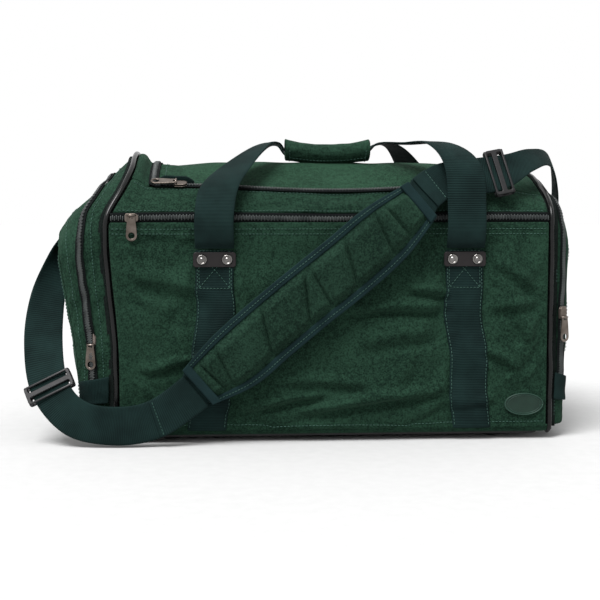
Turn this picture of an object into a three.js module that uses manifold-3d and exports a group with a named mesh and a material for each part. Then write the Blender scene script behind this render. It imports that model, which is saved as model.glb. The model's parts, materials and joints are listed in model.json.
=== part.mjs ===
// Rolling duffel bag: canvas body on moulded wheel rails, two end pockets, a flat front pocket,
// a zipped top flap, two carry handles and a padded shoulder strap.
// Millimetres, +Z up, the front of the bag faces -Y, +X is to the right of the front.
import * as THREE from 'three';
import { mergeVertices } from 'three/addons/utils/BufferGeometryUtils.js';
import Module from 'manifold-3d';

// ---- driving dimensions -------------------------------------------------------------------
const BODY_HALF_LENGTH = 276; // main compartment, to the inner side of the end piping
const BODY_HALF_DEPTH = 150;
const PANEL_BOTTOM = 14; // lowest edge of the canvas panels
const SHOULDER_HEIGHT = 330; // where the upright panels end and the crowned top begins
const SHOULDER_ROUNDING = 38; // how far the top edge is rolled in from the front and the back
const TOP_CROWN = 31;
const CANVAS = 3;
const WEBBING = 2.4;
const WEBBING_WIDTH = 50;
const GAP = 0.3; // between touching pieces

const WHEEL_RADIUS = 40;
const WHEEL_WIDTH = 24;
const WHEEL_Y = 118;
const WHEEL_X = [-212, 0, 212];
const RAIL_UNDERSIDE = 7;
const BASE_UNDERSIDE = 10.3;

const ZIP_HEIGHT = 289; // front pocket zipper
const SIDE_SLIDER_HEIGHT = { left: 133, right: 165 };
const PLATE_HEIGHT = 236; // riveted plates on the handle webbing
const LEG_X = { left: -154, right: 166 };
const HANDLE_PIVOT = { y: 160.5, z: 250 };
const FLAP = { left: -228, right: 206, front: -108, rear: 106 };
const ZIP_TAPE = 9; // width of the main zipper around the flap

// End pockets: where the gusset leaves the body and what outline it narrows to.
const BODY_END = { half: 146, bottom: 17, top: 326, crown: 29 };
const GUSSET_START = 285.6;
const END_POCKETS = {
  left: { side: -1, x: 325, lean: 20, outline: { half: 130, bottom: 20, top: 270, crown: 12 } },
  right: { side: 1, x: 302, lean: 5, outline: { half: 136, bottom: 18, top: 292, crown: 12 } },
};

// ---- materials ----------------------------------------------------------------------------
function finish(color, roughness, metalness = 0) {
  return new THREE.MeshStandardMaterial({ color, roughness, metalness });
}
const canvas = finish(0x23422f, 0.85);
const lining = finish(0x1d2a24, 0.9);
const webbing = finish(0x1d3a36, 0.75);
const zipTape = finish(0x23272a, 0.6);
const pipingVinyl = finish(0x101212, 0.25);
const blackPlastic = finish(0x17181a, 0.45);
const wheelRubber = finish(0x2a2b2d, 0.6);
const darkMetal = finish(0x6e665e, 0.35, 0.9);
const badgeRubber = finish(0x1c3a2a, 0.5);

// ---- tools for making solids --------------------------------------------------------------
const wasm = await Module();
wasm.setup();

/** Turns a closed geometry into a solid that can be joined and cut. */
function solid(geometry) {
  const bare = geometry.clone();
  bare.deleteAttribute('normal');
  bare.deleteAttribute('uv');
  const welded = mergeVertices(bare, 1e-4);
  return new wasm.Manifold(new wasm.Mesh({
    numProp: 3,
    vertProperties: welded.attributes.position.array,
    triVerts: new Uint32Array(welded.index.array),
  }));
}

/** Turns a joined or cut solid back into a geometry. */
function geometryOf(manifold) {
  const mesh = manifold.getMesh();
  const geometry = new THREE.BufferGeometry();
  geometry.setAttribute('position', new THREE.BufferAttribute(mesh.vertProperties, 3));
  geometry.setIndex(new THREE.BufferAttribute(mesh.triVerts, 1));
  return geometry;
}

/** A box between two opposite corners. */
function block(low, high) {
  const size = high.map((value, i) => value - low[i]);
  const middle = high.map((value, i) => (value + low[i]) / 2);
  return new THREE.BoxGeometry(...size).translate(...middle);
}

/** A cylinder whose axis lies along Y. */
function drum(radius, length, x, y, z, sides = 32) {
  return new THREE.CylinderGeometry(radius, radius, length, sides).translate(x, y, z);
}

/** Rectangle with rounded corners, centred on the origin. */
function roundedRectangle(width, height, radius) {
  const [w, h] = [width / 2 - radius, height / 2 - radius];
  const shape = new THREE.Shape();
  shape.absarc(w, h, radius, 0, Math.PI / 2);
  shape.absarc(-w, h, radius, Math.PI / 2, Math.PI);
  shape.absarc(-w, -h, radius, Math.PI, 1.5 * Math.PI);
  shape.absarc(w, -h, radius, 1.5 * Math.PI, 2 * Math.PI);
  return shape;
}

/** Extrudes a flat outline. */
function plate(shape, thickness, curveSegments = 4) {
  return new THREE.ExtrudeGeometry(shape, { depth: thickness, bevelEnabled: false, curveSegments });
}

/** Turns a flat piece so that its x, y and z run along three directions from a point. */
function placed(geometry, x, y, z, point) {
  return geometry.applyMatrix4(new THREE.Matrix4().makeBasis(x, y, z).setPosition(point));
}
const [X, Y, Z] = [0, 1, 2].map((i) => new THREE.Vector3().setComponent(i, 1));

/** The way a surface(u, v) faces, with u to the right and v up. */
const faceNormal = (surface, u, v) => {
  const step = 1e-3;
  const along = surface(Math.min(u + step, 1), v).sub(surface(Math.max(u - step, 0), v));
  const across = surface(u, Math.min(v + step, 1)).sub(surface(u, Math.max(v - step, 0)));
  return along.cross(across).normalize();
};

/** The same surface, moved out along its normal. */
const raised = (surface, height) => (u, v) =>
  surface(u, v).addScaledVector(faceNormal(surface, u, v), height);

/** A closed sheet of even thickness. surface(u, v) is its outer face, both from 0 to 1. */
function sheet(surface, columns, rows, thickness) {
  const positions = [];
  for (const depth of [0, -thickness]) {
    for (let row = 0; row <= rows; row += 1) {
      for (let column = 0; column <= columns; column += 1) {
        const [u, v] = [column / columns, row / rows];
        const point = surface(u, v).addScaledVector(faceNormal(surface, u, v), depth);
        positions.push(point.x, point.y, point.z);
      }
    }
  }
  const outer = (column, row) => row * (columns + 1) + column;
  const inner = (column, row) => outer(column, row) + (columns + 1) * (rows + 1);
  const index = [];
  const quad = (a, b, c, d) => index.push(a, b, c, a, c, d);
  for (let row = 0; row < rows; row += 1) {
    for (let column = 0; column < columns; column += 1) {
      const corners = [[column, row], [column + 1, row], [column + 1, row + 1], [column, row + 1]];
      quad(...corners.map((corner) => outer(...corner)));
      quad(...corners.map((corner) => inner(...corner)).reverse());
    }
  }
  const rim = [];
  for (let column = 0; column < columns; column += 1) rim.push([column, 0]);
  for (let row = 0; row < rows; row += 1) rim.push([columns, row]);
  for (let column = columns; column > 0; column -= 1) rim.push([column, rows]);
  for (let row = rows; row > 0; row -= 1) rim.push([0, row]);
  rim.forEach((start, i) => {
    const end = rim[(i + 1) % rim.length];
    quad(outer(...end), outer(...start), inner(...start), inner(...end));
  });
  const geometry = new THREE.BufferGeometry();
  geometry.setAttribute('position', new THREE.Float32BufferAttribute(positions, 3));
  geometry.setIndex(index);
  return geometry;
}

/** A band of webbing through stations of [centre, direction across the band, width]. */
function band(stations, thickness = WEBBING, stepsPerStation = 4) {
  const centred = raised(bandSurface(stations), thickness / 2);
  return sheet(centred, 1, (stations.length - 1) * stepsPerStation, thickness);
}

/** The middle surface of a band: u runs across it and v along it. */
function bandSurface(stations) {
  const edge = (side) => new THREE.CatmullRomCurve3(stations.map(([centre, across, width]) =>
    new THREE.Vector3(...centre).addScaledVector(
      new THREE.Vector3(...across).normalize(), side * (width ?? WEBBING_WIDTH) / 2)));
  const [low, high] = [edge(-1), edge(1)];
  return (u, v) => low.getPoint(v).lerp(high.getPoint(v), u);
}

const bag = new THREE.Group();
bag.name = 'rolling_duffel_bag';

/** Adds one named piece. */
function add(name, geometry, material, parent = bag) {
  const mesh = new THREE.Mesh(geometry, material);
  mesh.name = name;
  parent.add(mesh);
  return mesh;
}

const lerp = THREE.MathUtils.lerp;

// ---- outline of the bag, seen from its end --------------------------------------------------
const BODY_OUTLINE = {
  half: BODY_HALF_DEPTH,
  bottom: PANEL_BOTTOM,
  top: SHOULDER_HEIGHT,
  crown: TOP_CROWN,
};

/** across runs from -1 at the front to 1 at the back, and rise from 0 at the base to 1. */
function outlinePoint(across, rise, outline) {
  const roll = Math.max(0, (rise - 0.84) / 0.16);
  const half = outline.half - SHOULDER_ROUNDING * roll * roll;
  return {
    y: across * half,
    z: lerp(outline.bottom, outline.top, rise) + outline.crown * (1 - across * across) * rise,
  };
}

/** Once round the end of the bag: up the front, over the top and down the back. */
function roundTheEnd(u, outline) {
  if (u < 0.4) return outlinePoint(-1, u / 0.4, outline);
  if (u > 0.6) return outlinePoint(1, (1 - u) / 0.4, outline);
  return outlinePoint((u - 0.5) * 10, 1, outline);
}

// ---- main compartment -----------------------------------------------------------------------
function addBody() {
  const zipRise = 0.885; // where the upright panels meet the top panel
  const upright = (side, low, high, outward = 0) => (u, v) => {
    const { y, z } = outlinePoint(side, lerp(low, high, v), BODY_OUTLINE);
    return new THREE.Vector3(side * lerp(1, -1, u) * BODY_HALF_LENGTH, y + side * outward, z);
  };
  add('front_panel', sheet(upright(-1, 0, zipRise), 1, 10, CANVAS), canvas);
  add('back_panel', sheet(upright(1, 0, zipRise), 1, 10, CANVAS), canvas);
  add('front_pocket_panel',
    sheet(upright(-1, 0.006, 0.852, CANVAS + GAP), 1, 4, CANVAS), canvas);
  add('front_pocket_zip',
    sheet(upright(-1, 0.8535, 0.884, CANVAS), 1, 2, CANVAS - GAP), zipTape);

  const overTheTop = (u, v) => {
    const x = lerp(-BODY_HALF_LENGTH, BODY_HALF_LENGTH, u);
    const start = zipRise + 0.002;
    let point = outlinePoint((v - 0.5) * 4, 1, BODY_OUTLINE);
    if (v < 0.25) point = outlinePoint(-1, lerp(start, 1, v * 4), BODY_OUTLINE);
    if (v > 0.75) point = outlinePoint(1, lerp(1, start, v * 4 - 3), BODY_OUTLINE);
    return new THREE.Vector3(x, point.y, point.z);
  };
  const top = solid(sheet(overTheTop, 1, 24, CANVAS));
  const column = (left, right, front, rear) =>
    solid(block([left, front, 200], [right, rear, 400]));
  const { left, right, front, rear } = FLAP;
  const outside = ZIP_TAPE + 2 * GAP;
  const opening = column(left - outside, right + outside, front - outside, rear + GAP);
  add('top_panel', geometryOf(top.subtract(opening)), canvas);
  const tapeOutside = column(
    left - outside + GAP, right + outside - GAP, front - outside + GAP, rear);
  const tapeInside = column(left - GAP, right + GAP, front - GAP, rear + 10);
  add('main_zip', geometryOf(top.intersect(tapeOutside).subtract(tapeInside)), zipTape);
  add('top_flap', geometryOf(top.intersect(column(left, right, front, rear))), canvas);

  for (const side of [-1, 1]) {
    const name = side < 0 ? 'left' : 'right';
    const wall = new THREE.Shape();
    for (let i = 0; i <= 40; i += 1) {
      const { y, z } = roundTheEnd(i / 40, { half: 142, bottom: 17, top: 322, crown: 29 });
      if (i === 0) wall.moveTo(y, z);
      else wall.lineTo(y, z);
    }
    const wallX = side * (BODY_HALF_LENGTH + GAP + CANVAS / 2) - CANVAS / 2;
    const geometry = placed(plate(wall, CANVAS), Y, Z, X, new THREE.Vector3(wallX, 0, 0));
    add(`end_wall_${name}`, geometry, lining);

    const pipingPath = [];
    for (let i = 0; i <= 32; i += 1) {
      const { y, z } = roundTheEnd(i / 32, { half: 149, bottom: 14, top: 329, crown: TOP_CROWN });
      pipingPath.push(new THREE.Vector3(side * 281, y, z));
    }
    const round = new THREE.Shape().absarc(0, 0, 3.6, 0, 2 * Math.PI);
    add(`piping_${name}`, new THREE.ExtrudeGeometry(round, {
      steps: 44,
      curveSegments: 4,
      extrudePath: new THREE.CatmullRomCurve3(pipingPath),
    }), pipingVinyl);
  }
}

// ---- base, wheel rails and wheels -----------------------------------------------------------
function addBase() {
  let basePanel = solid(plate(roundedRectangle(2 * BODY_HALF_LENGTH, 292, 14), 3)
    .translate(0, 0, BASE_UNDERSIDE));
  let board = solid(plate(roundedRectangle(540, 276, 10), 3).translate(0, 0, 16));
  for (const row of ['front', 'rear']) {
    const y = row === 'front' ? -WHEEL_Y : WHEEL_Y;
    let rail = solid(plate(roundedRectangle(536, 54, 12), 3).translate(0, y, RAIL_UNDERSIDE));
    for (const x of WHEEL_X) {
      const dome = solid(drum(45.5, 38, x, y, WHEEL_RADIUS))
        .add(solid(block([x - 45.5, y - 19, 8], [x + 45.5, y + 19, WHEEL_RADIUS])))
        .subtract(solid(block([x - 60, y - 30, -20], [x + 60, y + 30, RAIL_UNDERSIDE])));
      rail = rail.add(dome);
    }
    WHEEL_X.forEach((x, i) => {
      const well = solid(drum(43, 30, x, y, WHEEL_RADIUS))
        .add(solid(block([x - 43, y - 15, -5], [x + 43, y + 15, WHEEL_RADIUS])))
        .add(solid(drum(4.4, 50, x, y, WHEEL_RADIUS, 16)));
      rail = rail.subtract(well);
      const cutOut = solid(block([x - 46.5, y - 20, 0], [x + 46.5, y + 20, 60]));
      basePanel = basePanel.subtract(cutOut);
      board = board.subtract(cutOut);
      const half = WHEEL_WIDTH / 2;
      // From the axle's end out to the tread and back: the wheel turns with its axle.
      const section = [
        [0, -18.7], [4, -18.7], [4, -9], [26, -9], [30, -half], [36, -half], [39.4, -8],
        [WHEEL_RADIUS, -4], [WHEEL_RADIUS, 4], [39.4, 8], [36, half], [30, half], [26, 9],
        [4, 9], [4, 18.7], [0, 18.7],
      ].map(([radius, along]) => new THREE.Vector2(radius, along));
      const wheel = add(`wheel_${row}_${i + 1}`, new THREE.LatheGeometry(section, 24), wheelRubber);
      wheel.position.set(x, y, WHEEL_RADIUS);
    });
    add(`wheel_rail_${row}`, geometryOf(rail), blackPlastic);
  }
  add('base_panel', geometryOf(basePanel), canvas);
  add('base_board', geometryOf(board), lining);
}

// ---- end pockets ----------------------------------------------------------------------------
/** Outer face of an end pocket's gusset: u goes once round the end, v across the gusset. */
function gussetSurface(name) {
  const { side, x, lean, outline } = END_POCKETS[name];
  return (u, v) => {
    const outwards = side < 0 ? v : 1 - v;
    const body = roundTheEnd(u, BODY_END);
    const cover = roundTheEnd(u, outline);
    const rise = 1 - Math.abs(2 * u - 1);
    const coverX = x + lean * Math.min(1, rise * 1.25);
    return new THREE.Vector3(
      side * lerp(GUSSET_START, coverX, outwards),
      lerp(body.y, cover.y, outwards),
      lerp(body.z, cover.z, outwards));
  };
}

function addEndPocket(name) {
  const { side, x, lean, outline } = END_POCKETS[name];
  const gusset = gussetSurface(name);
  add(`end_pocket_${name}_gusset`, sheet(gusset, 40, 1, CANVAS), canvas);
  const tape = (u, v) => gusset(lerp(0.02, 0.98, u), lerp(0.36, 0.64, v));
  add(`end_pocket_${name}_zip`, sheet(raised(tape, 3.3), 40, 1, 2), zipTape);
  const inset = { half: outline.half - 4, bottom: outline.bottom, top: outline.top - 4, crown: 12 };
  const cover = (u, v) => {
    const { y, z } = outlinePoint(side * (2 * u - 1), v, inset);
    return new THREE.Vector3(side * (x + 3.4 + lean * v), y, z);
  };
  add(`end_pocket_${name}_cover`, sheet(cover, 12, 16, CANVAS), canvas);
  const floorHeight = outline.bottom + CANVAS + 1;
  const floor = (u, v) => {
    const outwards = side < 0 ? 1 - u : u;
    const half = lerp(BODY_END.half, outline.half, outwards) - CANVAS - 2;
    return new THREE.Vector3(
      side * lerp(GUSSET_START, x - 1, outwards), lerp(-half, half, v), floorHeight);
  };
  add(`end_pocket_${name}_floor`, sheet(floor, 1, 1, CANVAS), canvas);
}

// ---- handles --------------------------------------------------------------------------------
function addHandle(row) {
  const side = row === 'front' ? -1 : 1;
  for (const name of ['left', 'right']) {
    const x = LEG_X[name];
    const onPocket = row === 'front' ? CANVAS + 2 * GAP : GAP;
    const face = BODY_HALF_DEPTH + onPocket;
    const leg = (u, v) => new THREE.Vector3(
      x + side * (0.5 - u) * WEBBING_WIDTH, side * (face + WEBBING), lerp(16, 248, v));
    add(`leg_webbing_${row}_${name}`, sheet(leg, 1, 2, WEBBING), webbing);

    const plateFace = face + WEBBING + GAP;
    const body = solid(plate(roundedRectangle(54, 19, 3), 2));
    const rivet = (offset) => solid(new THREE.LatheGeometry(
      [[0, 0], [6.5, 0], [6.2, 1.4], [4.2, 2.3], [0, 2.6]]
        .map(([radius, height]) => new THREE.Vector2(radius, height)), 16)
      .rotateX(Math.PI / 2).translate(offset, 0, 2 - 0.05));
    const riveted = geometryOf(body.add(rivet(-16)).add(rivet(16)));
    riveted.rotateX(Math.PI / 2);
    if (side > 0) riveted.rotateZ(Math.PI);
    riveted.translate(x, side * plateFace, PLATE_HEIGHT);
    add(`handle_plate_${row}_${name}`, riveted, blackPlastic);
  }

  // Up from the plates, over the top edge and in to the grip.
  const { y: pivotY, z: pivotZ } = HANDLE_PIVOT;
  const grip = row === 'front' ? 18 : 14;
  const gripHeight = row === 'front' ? 374 : 371;
  const overStrap = row === 'front' ? 32 : 0; // the front right leg also clears the strap
  const { left, right } = LEG_X;
  const stations = [
    [[left, pivotY, pivotZ], [1, 0, 0]],
    [[left, pivotY + 7, 262], [1, 0, 0]],
    [[left, pivotY + 9, 292], [1, 0, 0]],
    [[left + 6, pivotY - 8, 326], [1, 0.1, 0]],
    [[left + 26, pivotY - 42, 352], [1, 0.55, 0], 46],
    [[left + 62, pivotY - 96, 383], [0.6, 1, 0], 36],
    [[-68, grip + 8, 388], [0.1, 1, 0], 26],
    [[-50, grip, gripHeight], [0, 1, 0], 20],
    [[0, grip, gripHeight], [0, 1, 0], 20],
    [[50, grip, gripHeight], [0, 1, 0], 20],
    [[70, grip + 8, 388], [-0.1, 1, 0], 26],
    [[right - 62, pivotY - 96, 387], [-0.6, 1, 0], 36],
    [[right - 26, pivotY - 42, 352 + overStrap], [-1, 0.55, 0], 46],
    [[right - 4, pivotY, 322 + overStrap], [-1, 0.1, 0]],
    [[right, pivotY + 9, 296], [-1, 0, 0]],
    [[right, pivotY + 7, 262], [-1, 0, 0]],
    [[right, pivotY, pivotZ], [-1, 0, 0]],
  ].map(([centre, across, width]) => [
    [centre[0], side * centre[1], centre[2]], [across[0], side * across[1], across[2]], width]);
  add(`handle_${row}`, band(stations, WEBBING, 3), webbing);

  if (row === 'front') {
    const wrap = new THREE.Shape().absellipse(0, 0, 18, 12, 0, 2 * Math.PI);
    wrap.holes.push(new THREE.Path().absellipse(0, 0, 15, 8, 0, 2 * Math.PI));
    add('grip_wrap', placed(plate(wrap, 96, 10), Y, Z, X,
      new THREE.Vector3(-48, -grip, gripHeight)), canvas);
  }
}

// ---- zipper sliders and pullers -------------------------------------------------------------
/**
 * A slider and its puller, standing on the zipper at a point of its outer face. outward is the
 * way the slider stands off the zipper, and hang is the way the puller lies. The zipper runs
 * across the puller, or in line with it where inLine is set.
 */
function addSlider(name, point, outward, hang, inLine) {
  const stand = new THREE.Group();
  const [y, z] = [outward.clone().negate(), hang.clone().negate()];
  stand.quaternion.setFromRotationMatrix(
    new THREE.Matrix4().makeBasis(new THREE.Vector3().crossVectors(y, z), y, z));
  stand.position.copy(point).addScaledVector(outward, 0.6);
  bag.add(stand);

  const body = solid(plate(roundedRectangle(17, 11, 3), 5).rotateX(Math.PI / 2))
    .add(solid(block([-5, -8.5, 4.2], [5, -4, 7.4])));
  const slider = add(`slider_${name}`, geometryOf(body), darkMetal, stand);
  if (inLine) slider.rotation.y = Math.PI / 2;

  const outline = new THREE.Shape();
  outline.absarc(0, -25, 7, Math.PI, 2 * Math.PI);
  outline.lineTo(4.5, 0);
  outline.lineTo(-4.5, 0);
  outline.holes.push(new THREE.Path().absarc(0, -25, 4, 0, 2 * Math.PI));
  const tab = plate(outline, 1.8, 8).rotateX(Math.PI / 2).translate(0, -5.4, inLine ? -6 : 2.6);
  add(`puller_${name}`, tab, darkMetal, stand);
}

/** A point of the zipper on the front of an end pocket, and the way it faces. */
function onEndPocketZip(name, height) {
  const surface = gussetSurface(name);
  const [foot, shoulder] = [surface(0, 0.5), surface(0.32, 0.5)];
  const u = 0.32 * (height - foot.z) / (shoulder.z - foot.z);
  const outward = faceNormal(surface, u, 0.5).setZ(0).normalize();
  return [surface(u, 0.5).addScaledVector(outward, 3), outward];
}

function addSliders() {
  const down = new THREE.Vector3(0, 0, -1);
  addSlider('front_pocket', new THREE.Vector3(-258, -BODY_HALF_DEPTH - 2.8, ZIP_HEIGHT),
    new THREE.Vector3(0, -1, 0), down, false);
  for (const name of ['left', 'right']) {
    addSlider(`end_pocket_${name}`, ...onEndPocketZip(name, SIDE_SLIDER_HEIGHT[name]), down, true);
  }
  const topTilt = THREE.MathUtils.degToRad(28);
  addSlider('main', new THREE.Vector3(-198, -115, 329.5),
    new THREE.Vector3(0, -Math.sin(topTilt), Math.cos(topTilt)), new THREE.Vector3(-1, 0, 0), true);
}

// ---- shoulder strap -------------------------------------------------------------------------
const STRAP = {
  // From the left ring, down past the left pocket and along the floor to the pad.
  lower: [
    [[-359, -6, 264], [0.1, 1, 0]],
    [[-366, -26, 238], [0.5, 0.9, 0]],
    [[-376, -66, 190], [0.85, 0.5, 0.1]],
    [[-377, -112, 130], [1, 0.15, 0.1]],
    [[-364, -152, 74], [0.9, 0, 0.4]],
    [[-330, -172, 38], [0.55, 0, 0.85]],
    [[-280, -178, 28], [0.1, 0, 1]],
    [[-230, -178, 36], [-0.3, 0, 0.95]],
    [[-182, -176, 68], [-0.62, 0, 0.8]],
  ],
  pad: [
    [[-176, -176, 76], [-0.66, 0, 0.76], 72],
    [[-130, -177, 110], [-0.66, 0, 0.76], 84],
    [[-84, -178, 150], [-0.64, 0, 0.77], 84],
    [[-36, -179, 190], [-0.62, 0, 0.78], 84],
    [[14, -180, 230], [-0.64, 0, 0.77], 84],
    [[62, -180, 272], [-0.68, 0, 0.74], 82],
    [[108, -172, 312], [-0.62, 0.25, 0.72], 70],
  ],
  // From the pad over the front edge, round the right end and down to the right ring.
  upper: [
    [[114, -165, 321], [-0.6, 0.3, 0.7]],
    [[142, -147, 337], [-0.4, 0.4, 0.8]],
    [[176, -138, 341], [-0.1, 0.35, 0.95]],
    [[222, -136, 348], [0, 0.45, 0.9]],
    [[262, -112, 364], [0.05, 0.8, 0.6]],
    [[298, -66, 364], [0.15, 0.9, 0.35]],
    [[319, -22, 322], [0.1, 1, 0.1]],
    [[320, -2, 266], [0, 1, 0]],
  ],
};

/** A slide that the strap runs through, at a share of the way along the band. */
function addStrapSlide(name, stations, share) {
  const surface = bandSurface(stations);
  const along = surface(0.5, share + 0.02).sub(surface(0.5, share - 0.02)).normalize();
  const normal = surface(1, share).sub(surface(0, share)).cross(along).normalize().negate();
  const across = normal.clone().cross(along);
  const frame = roundedRectangle(63, 12, 3);
  frame.holes.push(roundedRectangle(56, 7, 1));
  const geometry = plate(frame, 22).translate(0, 0, -11);
  add(name, placed(geometry, across, normal, along, surface(0.5, share)), blackPlastic);
}

function addStrap() {
  add('strap_lower', band(STRAP.lower, WEBBING, 5), webbing);
  add('shoulder_pad', band(STRAP.pad, 12, 3), canvas);
  add('strap_upper', band(STRAP.upper, WEBBING, 5), webbing);
  addStrapSlide('strap_slide_lower', STRAP.lower, 0.5);
  addStrapSlide('strap_slide_upper', STRAP.upper, 0.4);
  for (const [name, side, x, z] of [['left', -1, 352.5, 266], ['right', 1, 312.5, 268]]) {
    const ring = roundedRectangle(60, 22, 4);
    ring.holes.push(roundedRectangle(52, 14, 2));
    add(`strap_ring_${name}`, placed(plate(ring, 3.4), Y, Z, X,
      new THREE.Vector3(side * x - 1.7, 0, z)), blackPlastic);
    const ends = [side * (x - 2), side * (x + 0.4)].sort((a, b) => a - b);
    const tab = block([ends[0], -25, z - 46], [ends[1], 25, z - 11.4]);
    add(`ring_tab_${name}`, tab, webbing);
  }
}

function addBadge() {
  const oval = new THREE.Shape().absellipse(0, 0, 26, 14.5, 0, 2 * Math.PI);
  const geometry = plate(oval, 2.5, 10).rotateX(Math.PI / 2);
  add('badge', geometry.translate(246, -BODY_HALF_DEPTH - CANVAS - 2 * GAP, 47), badgeRubber);
}

addBody();
addBase();
addEndPocket('left');
addEndPocket('right');
addHandle('front');
addHandle('rear');
addSliders();
addStrap();
addBadge();

// The origin is on the ground, under the middle of everything, strap included.
const extent = new THREE.Box3().setFromObject(bag);
const middle = extent.getCenter(new THREE.Vector3());
bag.position.set(-middle.x, -middle.y, -extent.min.z);

export default bag;
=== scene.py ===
"""Rolling duffel bag: its looks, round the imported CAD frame. Metres, +Z up, front faces -Y."""
import json
import math

import bpy
from mathutils import Matrix, Vector, noise


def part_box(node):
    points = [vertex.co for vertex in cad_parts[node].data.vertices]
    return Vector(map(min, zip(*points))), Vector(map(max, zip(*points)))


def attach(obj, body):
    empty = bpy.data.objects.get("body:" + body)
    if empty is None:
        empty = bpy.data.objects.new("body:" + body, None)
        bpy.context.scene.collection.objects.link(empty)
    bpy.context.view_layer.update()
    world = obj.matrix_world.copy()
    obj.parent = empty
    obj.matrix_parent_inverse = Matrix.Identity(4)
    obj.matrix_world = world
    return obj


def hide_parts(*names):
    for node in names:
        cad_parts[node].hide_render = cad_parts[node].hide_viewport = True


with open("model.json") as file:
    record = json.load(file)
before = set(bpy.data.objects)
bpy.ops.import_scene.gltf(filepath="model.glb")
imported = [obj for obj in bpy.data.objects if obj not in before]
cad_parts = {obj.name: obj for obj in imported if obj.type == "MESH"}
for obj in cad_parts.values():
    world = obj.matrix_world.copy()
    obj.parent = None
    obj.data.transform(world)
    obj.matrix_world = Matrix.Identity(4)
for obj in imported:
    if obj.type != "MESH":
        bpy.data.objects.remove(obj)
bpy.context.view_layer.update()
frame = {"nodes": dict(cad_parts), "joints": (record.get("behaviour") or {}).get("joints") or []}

# ---- sizes, taken from the frame -----------------------------------------------------------
front_low, front_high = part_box("front_panel")
back_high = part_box("back_panel")[1]
top_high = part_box("top_panel")[1]
CENTRE = Vector(((front_low.x + front_high.x) / 2, (front_low.y + back_high.y) / 2, 0))
HALF_LENGTH = (front_high.x - front_low.x) / 2
HALF_DEPTH = (back_high.y - front_low.y) / 2
BOTTOM = front_low.z
CROWN = 0.031  # rise of the top between its front and rear edges
SHOULDER = top_high.z - CROWN
ROLL = 0.038  # how far the top edge is rolled in
WEBBING = 0.0024  # thickness of the straps and handles
WEBBING_WIDTH = 0.050
ZIP_RISE = 0.885  # share of the panel height where the front pocket's zipper ends
LEG_X = {"left": -0.154, "right": 0.166}
BODY_END = dict(half=0.146, bottom=0.017, top=0.326, crown=0.029)
GUSSET_START = 0.2856  # where the end pockets leave the body
END_POCKETS = {
    "left": dict(side=-1, x=0.325, lean=0.020,
                 outline=dict(half=0.130, bottom=0.020, top=0.270, crown=0.012)),
    "right": dict(side=1, x=0.302, lean=0.005,
                  outline=dict(half=0.136, bottom=0.018, top=0.292, crown=0.012)),
}


def lerp(a, b, t):
    """The value a share t of the way from a to b."""
    return a + (b - a) * t


def smooth(start, end, value):
    """0 before start, 1 after end, and an even curve between them."""
    t = min(1.0, max(0.0, (value - start) / (end - start)))
    return t * t * (3 - 2 * t)


# ---- materials -----------------------------------------------------------------------------
class Nodes:
    """A short way to write a material's nodes."""

    def __init__(self, name, roughness=0.8, metallic=0.0, sheen=0.0, specular=0.5, coat=0.0):
        self.material = bpy.data.materials.new(name)
        self.material.use_nodes = True
        self.tree = self.material.node_tree
        self.shader = self.tree.nodes["Principled BSDF"]
        self.set("Roughness", roughness)
        self.set("Metallic", metallic)
        self.set("Sheen Weight", sheen)
        self.set("Sheen Roughness", 0.5)
        self.set("Specular IOR Level", specular)
        self.set("Coat Weight", coat)

    def set(self, socket, value):
        self.shader.inputs[socket].default_value = value

    def link(self, source, target):
        self.tree.links.new(source, target)

    def node(self, kind, **inputs):
        made = self.tree.nodes.new(kind)
        for key, value in inputs.items():
            self.fill(made.inputs[key.replace("_", " ")], value)
        return made

    def fill(self, socket, value):
        if isinstance(value, bpy.types.NodeSocket):
            self.link(value, socket)
        else:
            socket.default_value = value

    def math(self, operation, a, b=0.0):
        made = self.tree.nodes.new("ShaderNodeMath")
        made.operation = operation
        self.fill(made.inputs[0], a)
        self.fill(made.inputs[1], b)
        return made.outputs[0]

    def weave(self):
        """The cloth's own coordinates in metres, across it and along it."""
        attribute = self.tree.nodes.new("ShaderNodeAttribute")
        attribute.attribute_name = "weave"
        split = self.node("ShaderNodeSeparateXYZ", Vector=attribute.outputs["Vector"])
        return split.outputs["X"], split.outputs["Y"]

    def place(self):
        return self.tree.nodes.new("ShaderNodeTexCoord").outputs["Object"]

    def wave(self, coordinate, pitch):
        """A thread's rounded height, from 0 to 1, repeating at every pitch."""
        angle = self.math("MULTIPLY", coordinate, 2 * math.pi / pitch)
        return self.math("ADD", self.math("MULTIPLY", self.math("SINE", angle), 0.5), 0.5)

    def noise(self, scale, detail=3.0, vector=None):
        made = self.node("ShaderNodeTexNoise", Scale=scale, Detail=detail)
        self.link(vector if vector is not None else self.place(), made.inputs["Vector"])
        return made.outputs["Fac"]

    def blend(self, factor, dark, light, low=0.3, high=0.7):
        ramp = self.tree.nodes.new("ShaderNodeValToRGB")
        ramp.color_ramp.elements[0].position = low
        ramp.color_ramp.elements[1].position = high
        ramp.color_ramp.elements[0].color = (*dark, 1)
        ramp.color_ramp.elements[1].color = (*light, 1)
        self.link(factor, ramp.inputs["Fac"])
        return ramp.outputs["Color"]

    def bump(self, height, strength, distance, normal=None):
        made = self.node("ShaderNodeBump", Strength=strength, Distance=distance, Height=height)
        if normal is not None:
            self.link(normal, made.inputs["Normal"])
        return made.outputs["Normal"]


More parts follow.
